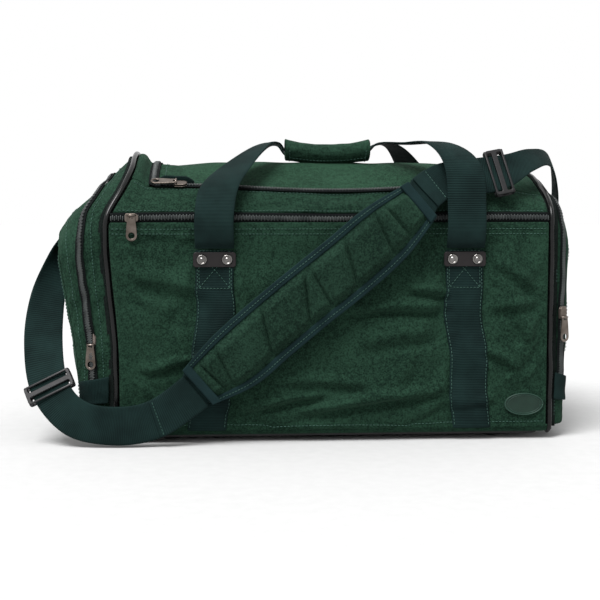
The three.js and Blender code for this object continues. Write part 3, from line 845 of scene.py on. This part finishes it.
def make_end_pocket(name):
    """An end pocket: its wall, zipper, two sewn patches and cover."""
    pocket = END_POCKETS[name]
    side, x, lean, outline = (pocket[key] for key in ("side", "x", "lean", "outline"))
    gusset = Cloth(gusset_surface(name), 150, 14, 0.9, 0.06 if side < 0 else 0.02)
    puff = 0.006 if side < 0 else 0.002
    gusset.push(lambda u, v: puff * math.sin(math.pi * v))
    gusset.rumple(0.0042 if side < 0 else 0.0020, (26, 30), 41.0 + side, 0.02)
    finish_piece(gusset.build(f"{name}_gusset_cloth", CANVAS_GREEN, 0.002), "bag", "canvas_green",
                 f"end_pocket_{name}_gusset")
    for v in (0.22, 0.78) if side < 0 else (0.86,):
        for start, end in ((0.01, 0.4), (0.4, 0.6), (0.6, 0.99)):
            stitch("bag", *cloth_line(gusset, (start, v), (end, v)))

    def zip_route(t):
        u = lerp(0.085, 0.915, t)
        inwards = smooth(0.30, 0.42, u) * smooth(0.30, 0.42, 1 - u)
        v = 0.5 + side * 0.16 * inwards
        across = (gusset.point(u, v + 0.12) - gusset.point(u, v - 0.12)).normalized()
        return gusset.at(u, v, 0.0012), across, gusset.normal(u, v)
    zipper(f"{name}_zip", zip_route, 0.80, 0.013, f"end_pocket_{name}_zip")
    for row, low, high in (("front", 0.045, 0.092), ("rear", 0.908, 0.955)):
        def on_gusset(u, v):
            return gusset.at(lerp(low, high, u), lerp(0.06, 0.94, v), 0.0050)
        patch = Cloth(on_gusset, 10, 10, 0.03, 0.05)
        finish_piece(patch.build(f"{name}_patch_{row}", WEBBING_TEAL, 0.002), "bag",
                     "webbing_teal")

    fullness = 0.008 if side < 0 else 0  # only the left pocket is full

    def cover_surface(u, v):
        y, z = outline_point(side * (2 * u - 1), v, outline["half"] - 0.001, outline["bottom"],
                             outline["top"], outline["crown"])
        bulge = fullness * math.sin(math.pi * u) * math.sin(math.pi * min(1, v * 1.4))
        return slumped(side * (x + 0.001 + lean * v + bulge), y, z)
    cover = Cloth(cover_surface, 60, 64, 0.26, 0.26)
    cover.settle(edges_held, slack=0.02, pressure=0.3, cap=0.003)
    cover.rumple(0.0026, (14, 14), 51.0 + side)
    finish_piece(cover.build(f"{name}_cover_cloth", CANVAS_GREEN, 0.002), "bag", "canvas_green",
                 f"end_pocket_{name}_cover")
    for u in (0.03, 0.97):
        stitch("bag", *cloth_line(cover, (u, 0.02), (u, 0.97)))
    stitch("bag", *cloth_line(cover, (0.04, 0.975), (0.96, 0.975)))


def make_end_lining(name, side):
    """A strip inside the seam at one end of the body, so that no light shows through it."""
    inside = dict(half=HALF_DEPTH - 0.004, bottom=BOTTOM + 0.002, top=SHOULDER - 0.004,
                  crown=CROWN)

    def surface(u, v):
        y, z = round_the_end(u, inside)
        return slumped(side * lerp(HALF_LENGTH - 0.010, GUSSET_START + 0.004, v), y, z)
    lining = Cloth(surface, 90, 4, 0.90, 0.018)
    finish_piece(lining.build(f"end_lining_{name}", LINING, 0.0008, 0), "bag", "canvas_green")


def make_piping(name, side):
    """Glossy piping round one end of the body, tucked under the base at both ends."""
    outline = dict(half=0.1495, bottom=0.014, top=0.3295, crown=CROWN)
    points = []
    for k in range(161):
        u = k / 160
        y, z = round_the_end(u, outline)
        wobble = 0.0012 * noise.noise(Vector((u * 22, side, 0.5)))
        points.append(slumped(side * (0.281 + wobble), y, z))
    for end in (0, -1):
        under = points[end] + Vector((0, -0.010 if points[end].y > CENTRE.y else 0.010, -0.005))
        points.insert(0 if end == 0 else len(points), under)
    finish_piece(tube(f"piping_{name}_tube", points, 0.0034, PIPING), "bag", "piping_vinyl",
                 f"piping_{name}")


# ---- webbing, plates and handles -----------------------------------------------------------
def stitch_box(body, cloth, low, high):
    """A sewn box with a cross in it, between two corners of a cloth."""
    corners = [(low[0], low[1]), (high[0], low[1]), (high[0], high[1]), (low[0], high[1])]
    for k in range(4):
        stitch(body, *cloth_line(cloth, corners[k], corners[(k + 1) % 4]))
    stitch(body, *cloth_line(cloth, corners[0], corners[2]))
    stitch(body, *cloth_line(cloth, corners[1], corners[3]))


def make_leg(row, name, under):
    """Webbing sewn down a panel's cloth, from the rivet plate to the base."""
    side = -1 if row == "front" else 1
    middle = LEG_X[name]
    low, high = 0.016, 0.248
    panel = dict(front=(0.016, 0.267), rear=(BOTTOM, 0.28))[row]
    drift = {"left": 0.009, "right": -0.010}[name]

    def surface(u, v):
        across = middle + side * (0.5 - u) * WEBBING_WIDTH
        share = side * across / (2 * HALF_LENGTH)
        z = lerp(low, high, v)
        sway = drift * (1 - smooth(0, 0.75, v)) + 0.002 * math.sin(v * 14 + middle * 30)
        sway *= 1 - smooth(0.72, 0.85, v)
        share -= side * sway / (2 * HALF_LENGTH)
        return under.at(0.5 - share, (z - panel[0]) / panel[1], 0.0026)
    cloth = Cloth(surface, 8, 60, WEBBING_WIDTH, high - low)
    finish_piece(cloth.build(f"leg_{row}_{name}_band", WEBBING_TEAL, 0.002, 1), "bag",
                 "webbing_teal", f"leg_webbing_{row}_{name}")
    for u in (0.05, 0.95):
        stitch("bag", *cloth_line(cloth, (u, 0.02), (u, 0.90), 0.0004))
    stitch_box("bag", cloth, (0.10, 0.79), (0.90, 0.995))


# A dished rivet cap, as (radius, height) from its rim to its middle.
RIVET = [(0.0072, 0.0000), (0.0070, 0.0012), (0.0060, 0.0022), (0.0050, 0.0026), (0.0044, 0.0018),
         (0.0036, 0.0012), (0.0028, 0.0016), (0.0018, 0.0026), (0.0002, 0.0029)]


def make_plate(row, name):
    """Black plate with two bright domed rivets, where the handle leaves the bag."""
    node = f"handle_plate_{row}_{name}"
    low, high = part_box(node)
    side = -1 if row == "front" else 1
    face = low.y if side < 0 else high.y
    base = face - side * 0.0030
    x, z = (low.x + high.x) / 2, (low.z + high.z) / 2
    facing = axes_matrix(Vector((-side, 0, 0)), Vector((0, 0, 1)), Vector((0, side, 0)),
                         Vector((x, base, z)))
    plate = outline_plate(f"{node}_body", rounded(54, 19, 3.5), [], 0.0028, 0.0008, facing,
                          PLATE_BLACK)
    finish_piece(plate, "bag", "rivet_plate", node)
    places = [Vector((x + offset, base + side * 0.0012, z)) for offset in (-0.016, 0.016)]
    caps = turned(f"{node}_rivets", places, RIVET, Vector((0, side, 0)), 28, BRIGHT)
    finish_piece(caps, "bag", "rivet_plate")


def turned(name, places, profile, axis, sides, material):
    """Round pieces: a profile of (radius, height) turned about an axis at each place."""
    side = axis.orthogonal().normalized()
    up = axis.cross(side)
    points, faces = [], []
    for centre in places:
        faces += skin(len(profile), sides, len(points))
        for radius, height in profile:
            points += circle(centre + axis * height, side, up, radius, sides)
    return mesh_object(name, points, faces, material)


def handle_stations(row):
    """The handle's path in millimetres; the front one also rises over the shoulder strap."""
    side = -1 if row == "front" else 1
    grip, height, over = (18, 374, 32) if row == "front" else (14, 371, 0)
    left, right = (1000 * x for x in LEG_X.values())
    y, z = 160.5, 250
    stations = [
        ((left, y, z), (1, 0, 0)),
        ((left, y + 7, 262), (1, 0, 0)),
        ((left, y + 9, 292), (1, 0, 0)),
        ((left + 6, y - 8, 326), (1, 0.1, 0)),
        ((left + 26, y - 42, 352), (1, 0.55, 0), 46),
        ((left + 62, y - 96, 383), (0.6, 1, 0), 36),
        ((-68, grip + 8, 388), (0.1, 1, 0), 26),
        ((-50, grip, height), (0, 1, 0), 20),
        ((0, grip, height), (0, 1, 0), 20),
        ((50, grip, height), (0, 1, 0), 20),
        ((70, grip + 8, 388), (-0.1, 1, 0), 26),
        ((right - 62, y - 96, 387), (-0.6, 1, 0), 36),
        ((right - 26, y - 42, 352 + over), (-1, 0.55, 0), 46),
        ((right - 4, y, 322 + over), (-1, 0.1, 0)),
        ((right, y + 9, 296), (-1, 0, 0)),
        ((right, y + 7, 262), (-1, 0, 0)),
        ((right, y, z), (-1, 0, 0)),
    ]
    return [((c[0], side * c[1], c[2]), (d[0], side * d[1], d[2]), *w) for c, d, *w in stations]


def make_handles():
    """Both handles, and the padded wrap round the grip of the front one."""
    for row in ("front", "rear"):
        cloth = band_cloth(handle_stations(row), 9)
        cloth.rumple(0.0016, (16, 12), 71.0, 0.01)
        finish_piece(cloth.build(f"handle_{row}_band", WEBBING_TEAL, WEBBING, 1, 0.0),
                     f"{row}_handle", "webbing_teal", f"handle_{row}")
    low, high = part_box("grip_wrap")
    middle = (low + high) / 2
    half = (high.x - low.x) / 2 + 0.010

    def surface(u, v):
        angle = 2 * math.pi * u
        end = 1 + 0.10 * abs(2 * v - 1) ** 4
        fold = 1 + 0.06 * noise.noise(Vector((math.cos(angle) * 2, math.sin(angle) * 2, v * 7)))
        return middle + Vector((lerp(-half, half, v), 0.0185 * math.cos(angle) * end * fold,
                                0.0135 * math.sin(angle) * end * fold
                                + 0.006 * (2 * v - 1) ** 2))
    wrap = Cloth(surface, 40, 60, 0.1, 2 * half)
    piece = wrap.build("grip_wrap_cloth", CANVAS_GREEN, 0.002, 1)
    finish_piece(piece, "front_handle", "grip_canvas", "grip_wrap")
    for v in (0.05, 0.95):
        stitch("front_handle", *cloth_line(wrap, (0.5, v), (1.0, v)))
    stitch("front_handle", *cloth_line(wrap, (0.62, 0.04), (0.62, 0.96)))


# ---- shoulder strap ------------------------------------------------------------------------
STRAP_LOWER = [
    ((-359, -6, 264), (0.1, 1, 0)),
    ((-366, -26, 238), (0.5, 0.9, 0)),
    ((-376, -66, 190), (0.85, 0.5, 0.1)),
    ((-377, -112, 130), (1, 0.15, 0.1)),
    ((-364, -152, 74), (0.9, 0, 0.4)),
    ((-330, -172, 38), (0.55, 0, 0.85)),
    ((-280, -178, 28), (0.1, 0, 1)),
    ((-230, -178, 36), (-0.3, 0, 0.95)),
    ((-182, -176, 68), (-0.62, 0, 0.8)),
]
PAD = [
    ((-176, -176, 76), (-0.66, 0, 0.76), 58),
    ((-130, -177, 110), (-0.66, 0, 0.76), 82),
    ((-84, -178, 150), (-0.64, 0, 0.77), 84),
    ((-36, -179, 190), (-0.62, 0, 0.78), 84),
    ((14, -180, 230), (-0.64, 0, 0.77), 84),
    ((62, -180, 272), (-0.68, 0, 0.74), 80),
    ((108, -172, 312), (-0.62, 0.25, 0.72), 56),
]
# The webbing runs on between the two faces of the pad.
INTO_PAD = [((-176, -176, 76), (-0.66, 0, 0.76)), ((-140, -176.8, 103), (-0.66, 0, 0.76))]
OUT_OF_PAD = [((80, -176.5, 288), (-0.66, 0.1, 0.74)), ((106, -172, 311), (-0.62, 0.25, 0.72))]
STRAP_UPPER = [
    ((114, -165, 321), (-0.6, 0.3, 0.7)),
    ((142, -147, 337), (-0.4, 0.4, 0.8)),
    ((176, -138, 341), (-0.1, 0.35, 0.95)),
    ((222, -136, 348), (0, 0.45, 0.9)),
    ((262, -112, 364), (0.05, 0.8, 0.6)),
    ((298, -66, 364), (0.15, 0.9, 0.35)),
    ((319, -22, 322), (0.1, 1, 0.1)),
    ((320, -2, 266), (0, 1, 0)),
]
# Sewn channels of the pad: from the lower edge to the upper edge, as shares of its length.
CHANNELS = [(0.077, 0.060), (0.095, 0.153), (0.259, 0.375), (0.425, 0.564), (0.534, 0.568),
            (0.627, 0.729), (0.790, 0.852), (0.880, 0.886)]
BINDING_SHARE = 0.13


def make_pad():
    """The quilted pad: two faces that puff between the sewn channels, and their binding."""
    base = band_cloth(PAD, 46, 56)
    length, width = 0.37, 0.084

    def puff(u, v):
        """How far the padding stands off the pad's middle surface."""
        inside = smooth(BINDING_SHARE, BINDING_SHARE + 0.14, min(u, 1 - u))
        inside *= smooth(0.012, 0.06, min(v, 1 - v))
        height = 0.0100 * inside
        for low, high in CHANNELS:
            gap = abs(v - lerp(low, high, u)) * length
            dip, seam = math.exp(-(gap / 0.0085) ** 2), math.exp(-(gap / 0.0017) ** 2)
            height *= 1 - 0.45 * dip - 0.5 * seam
        crease = noise.noise(Vector((u * 5, v * 16, 2.0))) * 0.0009 * inside
        return 0.0014 + height + crease

    points, faces, weave = [], [], []
    for thickness in (-1.0, 0.55):  # the outer face, then the flatter one against the bag
        for u, v in base.shares():
            points.append(base.at(u, v, thickness * puff(u, v)))
            weave.append((u * width, v * length, 0))
    count = len(base.points)
    for face in base.faces():
        faces.append(tuple(reversed(face)))
        faces.append(tuple(count + k for k in face))
    rim = ([base.index(i, 0) for i in range(base.columns)]
           + [base.index(base.columns, j) for j in range(base.rows)]
           + [base.index(i, base.rows) for i in range(base.columns, 0, -1)]
           + [base.index(0, j) for j in range(base.rows, 0, -1)])
    for k, start in enumerate(rim):
        end = rim[(k + 1) % len(rim)]
        faces.append((start, end, count + end, count + start))
    pad = mesh_object("shoulder_pad_cloth", points, faces, PAD_GREEN, weave)
    finish_piece(pad, "bag", "pad_canvas", "shoulder_pad")

    def on_face(u, v, extra):
        return base.at(u, v, -puff(u, v) - extra), -base.normal(u, v)

    for u in (0.06, 0.94):
        stitch("bag", lambda t: on_face(u, lerp(0.02, 0.98, t), 0.0013), length)

    for name, low, high in (("lower", -0.01, BINDING_SHARE), ("upper", 1 - BINDING_SHARE, 1.01)):
        def tape(u, v):
            share = lerp(low, high, u)
            return base.at(min(max(share, 0.0), 1.0), v, -0.0026) + (
                base.point(1, v) - base.point(0, v)).normalized() * min(0, share) * width
        cloth = Cloth(tape, 6, 160, 0.012, length)
        finish_piece(cloth.build(f"pad_binding_{name}", BINDING, 0.0046, 1, 1.0), "bag",
                     "webbing_teal")
    for name, low, high in (("start", 0.0, 0.035), ("end", 0.965, 1.0)):
        def tape(u, v):
            return base.at(v, lerp(low, high, u), -0.0028)
        cloth = Cloth(tape, 4, 40, 0.012, width)
        finish_piece(cloth.build(f"pad_binding_{name}", BINDING, 0.005, 1, 1.0), "bag",
                     "webbing_teal")


def make_strap_slide(node, cloth, share):
    """Black slide: a flat frame with a bar across it, on the outer face of the webbing."""
    along = (cloth.point(0.5, share + 0.01) - cloth.point(0.5, share - 0.01)).normalized()
    normal = -cloth.normal(0.5, share)
    across = normal.cross(along).normalized()
    along = across.cross(normal)
    slots = [[(x, y + shift) for x, y in rounded(54, 6, 1.5)] for shift in (-6.5, 6.5)]
    for part, lift in (("outer", 0.0034), ("inner", -0.0034)):
        place = axes_matrix(across, -along, normal, cloth.point(0.5, share) + normal * lift)
        piece = outline_plate(f"{node}_{part}", rounded(63, 24, 4), slots, 0.003, 0.0009, place,
                              BLACK_PLASTIC)
        finish_piece(piece, node, "hardware_plastic")
    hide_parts(node)
    for name, shift in (("a", -0.011), ("b", 0.011)):
        place = axes_matrix(across, normal, along, cloth.point(0.5, share) + along * shift)
        piece = outline_plate(f"{node}_side_{name}", rounded(63, 10, 3), [rounded(55, 5, 1.5)],
                              0.003, 0.0008, place, BLACK_PLASTIC)
        finish_piece(piece, node, "hardware_plastic")


def make_strap():
    """The strap's two runs of webbing, folded back at the pad, with its slides and rings."""
    runs = {"lower": band_cloth([*STRAP_LOWER, *INTO_PAD], 12),
            "upper": band_cloth([*OUT_OF_PAD, *STRAP_UPPER], 12)}
    for name, seed in (("lower", 61.0), ("upper", 62.0)):
        runs[name].rumple(0.0012, (20, 14), seed, 0.01)
        band = runs[name].build(f"strap_{name}_band", WEBBING_TEAL, WEBBING, 1, 0.0)
        finish_piece(band, "bag", "webbing_teal", f"strap_{name}")
    for name, low, high, row in (("lower", 0.70, 0.83, 0.06), ("upper", 0.20, 0.28, 0.94)):
        fold = layer(runs[name], low, high, -0.0030)
        finish_piece(fold.build(f"strap_{name}_fold", WEBBING_TEAL, WEBBING, 1, 0.0), "bag",
                     "webbing_teal")
        stitch("bag", *cloth_line(fold, (0.05, row), (0.95, row), -0.0014))
    make_strap_slide("strap_slide_lower", band_cloth(STRAP_LOWER), 0.5)
    make_strap_slide("strap_slide_upper", band_cloth(STRAP_UPPER), 0.4)
    make_pad()
    make_ring("left", -1)
    make_ring("right", 1)


def make_ring(name, side):
    """A plastic loop at one end of the bag and the webbing tab that holds it."""
    low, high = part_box(f"strap_ring_{name}")
    place = axes_matrix(Vector((0, 1, 0)), Vector((0, 0, 1)), Vector((1, 0, 0)),
                        (low + high) / 2)
    loop = outline_plate(f"strap_ring_{name}_loop", rounded(60, 22, 6), [rounded(51, 13, 3)],
                         0.0042, 0.0016, place, BLACK_PLASTIC)
    finish_piece(loop, "bag", "hardware_plastic", f"strap_ring_{name}")
    low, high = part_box(f"ring_tab_{name}")
    outer = low.x if side < 0 else high.x

    def tab(u, v):
        return Vector((outer + side * 0.0012 * math.sin(v * 9), lerp(low.y, high.y, u),
                       lerp(low.z, high.z + 0.002, v)))
    cloth = Cloth(tab, 8, 12, WEBBING_WIDTH, 0.036)
    finish_piece(cloth.build(f"ring_tab_{name}_band", WEBBING_TEAL, 0.003, 1, 0.0), "bag",
                 "webbing_teal", f"ring_tab_{name}")


def make_label():
    """A small lime label folded over the front edge of the left ring's tab."""
    low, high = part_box("ring_tab_left")

    def surface(u, v):
        x = high.x - 0.004 - 0.010 * u
        return Vector((x, low.y - 0.0012 - 0.0010 * math.sin(3 * u), high.z - 0.012 * v))
    label = Cloth(surface, 6, 6, 0.010, 0.012)
    finish_piece(label.build("ring_label", LABEL, 0.0008), "bag", "webbing_teal")


# ---- sliders and pullers -------------------------------------------------------------------
def make_slider(name):
    """A cast slider with its bridge, and the puller with its round eye."""
    joint = next(j for j in frame["joints"] if j["name"] == f"{name}_puller_swing")
    x = -Vector(joint["axis"]).normalized()
    z = Vector((1, 0, 0)) if name == "main" else Vector((0, 0, 1))
    y = z.cross(x).normalized()
    z = x.cross(y)
    turn = axes_matrix(x, y, z, Vector((0, 0, 0)))
    in_line = name != "front_pocket"
    pivot = Vector((0, -0.0063, -0.006 if in_line else 0.0026))
    origin = Vector(joint["pos_m"]) - turn.to_3x3() @ pivot
    stand = axes_matrix(x, y, z, origin)
    flat = stand @ Matrix.Rotation(math.radians(90), 4, "X")  # outlines lie on the zipper
    spin = Matrix.Rotation(math.radians(90), 4, "Z") if in_line else Matrix.Identity(4)
    nose = ([(8.5, 3.2), (8.5, -3.2)] + arc(3.5, -2.6, 3.0, -60, -90, 3) + [(-5.5, -5.4)]
            + arc(-5.5, -2.4, 3.0, -90, -180, 4) + arc(-5.5, 2.4, 3.0, 180, 90, 4)
            + [(-5.5, 5.4)] + arc(3.5, 2.6, 3.0, 90, 60, 3))
    for part, lift, thick in (("lower", 0.0009, 0.0016), ("upper", 0.0035, 0.0018)):
        place = flat @ Matrix.Translation((0, 0, lift)) @ spin
        piece = outline_plate(f"{name}_slider_{part}", nose, [], thick, 0.0006, place, NICKEL)
        finish_piece(piece, f"{name}_slider", "zip_metal")
    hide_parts(f"slider_{name}")
    arch = [Vector((math.cos(a) * 0.0046, 0, 0.0050 + math.sin(a) * 0.0034))
            for a in (math.pi * k / 12 for k in range(13))]
    lift_to = Matrix.Translation((0, pivot.z + 0.0005, 0))
    bridge = tube(f"{name}_slider_bridge", [flat @ lift_to @ p for p in arch], 0.0014, NICKEL, 8)
    finish_piece(bridge, f"{name}_slider", "zip_metal")
    outline = (arc(0, -25, 7, 180, 360, 16) + [(6.2, -14), (4.8, -2)] + arc(2.8, -0.2, 2, 0, 90, 4)
               + arc(-2.8, -0.2, 2, 90, 180, 4) + [(-4.8, -2), (-6.2, -14)])
    eye = arc(0, -25, 3.9, 0, 345, 23)
    slot = [(a, b - 1.6) for a, b in rounded(5.2, 2.6, 1.0)]
    place = flat @ Matrix.Translation((0, pivot.z, 0.0063))
    puller = outline_plate(f"{name}_puller_plate", outline, [eye, slot], 0.0020, 0.0006, place,
                           NICKEL)
    finish_piece(puller, f"{name}_puller", "zip_metal", f"puller_{name}")


# ---- badge, base and wheels ----------------------------------------------------------------
def make_badge():
    """The oval rubber badge with two raised rims; it carries no mark."""
    low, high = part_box("badge")
    middle = Vector(((low.x + high.x) / 2, low.y, (low.z + high.z) / 2))
    facing = axes_matrix(Vector((1, 0, 0)), Vector((0, 0, 1)), Vector((0, -1, 0)), middle)
    half = ((high.x - low.x) * 500, (high.z - low.z) * 500)
    oval = [(half[0] * math.cos(a), half[1] * math.sin(a))
            for a in (2 * math.pi * k / 48 for k in range(48))]
    face = outline_plate("badge_face", oval, [], 0.0022, 0.0006,
                         facing @ Matrix.Translation((0, 0, -0.001)), BADGE)
    finish_piece(face, "bag", "badge_rubber", "badge")
    for share, radius in ((0.95, 0.0008), (0.82, 0.0004)):
        ring = [facing @ Vector((x * share / 1000, y * share / 1000, 0.0002))
                for x, y in [*oval, oval[0]]]
        rim = tube(f"badge_rim_{round(share * 100)}", ring, radius, RIM, 8)
        finish_piece(rim, "bag", "badge_rubber")


def make_hem():
    """The canvas turns in under the base along the front and the back."""
    for side in (-1, 1):
        def surface(u, v):
            turn = math.radians(90) * v
            y = side * (HALF_DEPTH + 0.0030 - 0.010 * (1 - math.cos(turn)))
            z = BOTTOM + 0.0060 - 0.0110 * math.sin(turn)
            return CENTRE + Vector((-side * lerp(-1, 1, u) * HALF_LENGTH * 1.01, y, z))
        hem = Cloth(surface, 80, 8, 0.552, 0.018)
        name = "front" if side < 0 else "rear"
        finish_piece(hem.build(f"base_hem_{name}", CANVAS_GREEN, 0.0016, 1, 1.0), "bag",
                     "canvas_green")


# Half a wheel's section, as (radius, distance from its middle) from the axle to the tread.
WHEEL_HALF = [(0.0030, 0.018), (0.0055, 0.0178), (0.0062, 0.010), (0.0220, 0.0085),
              (0.0265, 0.010), (0.0300, 0.012), (0.0350, 0.012), (0.0380, 0.010),
              (0.0393, 0.007), (0.0399, 0.004)]


def make_wheels():
    """Six wheels, each in one piece with the stubs of its axle."""
    section = [(radius, -off) for radius, off in WHEEL_HALF] + [(0.0400, 0)]
    section += reversed(WHEEL_HALF)
    for node in (f"wheel_{row}_{i}" for row in ("front", "rear") for i in (1, 2, 3)):
        low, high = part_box(node)
        wheel = turned(f"{node}_turned", [(low + high) / 2], section, Vector((0, 1, 0)), 56,
                       WHEEL_GREY)
        finish_piece(wheel, node, "wheel_grey", node)


def finish_cad_nodes():
    """Gives the solids that stay in view their own finish."""
    finishes = {
        "front_panel": LINING, "end_wall_left": LINING, "end_wall_right": LINING,
        "base_board": LINING, "base_panel": CANVAS_GREEN, "end_pocket_left_floor": CANVAS_GREEN,
        "end_pocket_right_floor": CANVAS_GREEN, "wheel_rail_front": BLACK_PLASTIC,
        "wheel_rail_rear": BLACK_PLASTIC,
    }
    for node, material in finishes.items():
        for place in frame["nodes"][node].material_slots:
            place.material = material


# ---- studio --------------------------------------------------------------------------------
def make_studio():
    """A pale floor, even white surroundings, one soft sun and the camera."""
    scene = bpy.context.scene
    scene.view_settings.view_transform = "Standard"
    world = bpy.data.worlds.new("studio")
    scene.world = world
    world.use_nodes = True
    world.node_tree.nodes["Background"].inputs["Color"].default_value = (1, 1, 1, 1)
    world.node_tree.nodes["Background"].inputs["Strength"].default_value = 1.0

    floor_size = 12
    floor = mesh_object("floor", [(-floor_size, -floor_size, 0), (floor_size, -floor_size, 0),
                                  (floor_size, floor_size, 0), (-floor_size, floor_size, 0)],
                        [(0, 1, 2, 3)], plain_material("floor", (0.43, 0.43, 0.43),
                                                       (0.45, 0.45, 0.45), 0.9, bump=0.0))
    sun = bpy.data.lights.new("key", "SUN")
    sun.energy = 5.0
    sun.angle = math.radians(32)
    key = bpy.data.objects.new("key", sun)
    key.rotation_euler = Vector((0.30, 0.42, -0.86)).to_track_quat("-Z", "Y").to_euler()
    scene.collection.objects.link(key)

    camera_data = bpy.data.cameras.new("camera")
    camera_data.lens = 72
    camera_data.sensor_width = 36
    camera = bpy.data.objects.new("camera", camera_data)
    turn, tilt, distance = math.radians(3.46), math.radians(4.86), 1.537
    ahead = Vector((math.sin(turn) * math.cos(tilt), math.cos(turn) * math.cos(tilt),
                    -math.sin(tilt)))
    aim = Vector((-0.0058, -0.1422, 0.1836))
    camera.location = aim - ahead * distance
    camera.rotation_euler = ahead.to_track_quat("-Z", "Y").to_euler()
    scene.collection.objects.link(camera)
    scene.camera = camera


make_studio()
front = make_front()
back = make_back()
make_top()
front_zip()
main_zip()
for pocket_name in END_POCKETS:
    make_end_pocket(pocket_name)
    make_piping(pocket_name, END_POCKETS[pocket_name]["side"])
    make_end_lining(pocket_name, END_POCKETS[pocket_name]["side"])
for leg_name in LEG_X:
    make_leg("front", leg_name, front)
    make_leg("rear", leg_name, back)
    make_plate("front", leg_name)
    make_plate("rear", leg_name)
make_handles()
make_strap()
for slider_name in ("front_pocket", "end_pocket_left", "end_pocket_right", "main"):
    make_slider(slider_name)
make_label()
make_badge()
make_hem()
make_wheels()
finish_cad_nodes()
for stitched_body, pile in stitching.items():
    finish_piece(pile.build(f"stitches_{stitched_body}", THREAD), stitched_body, "webbing_teal")
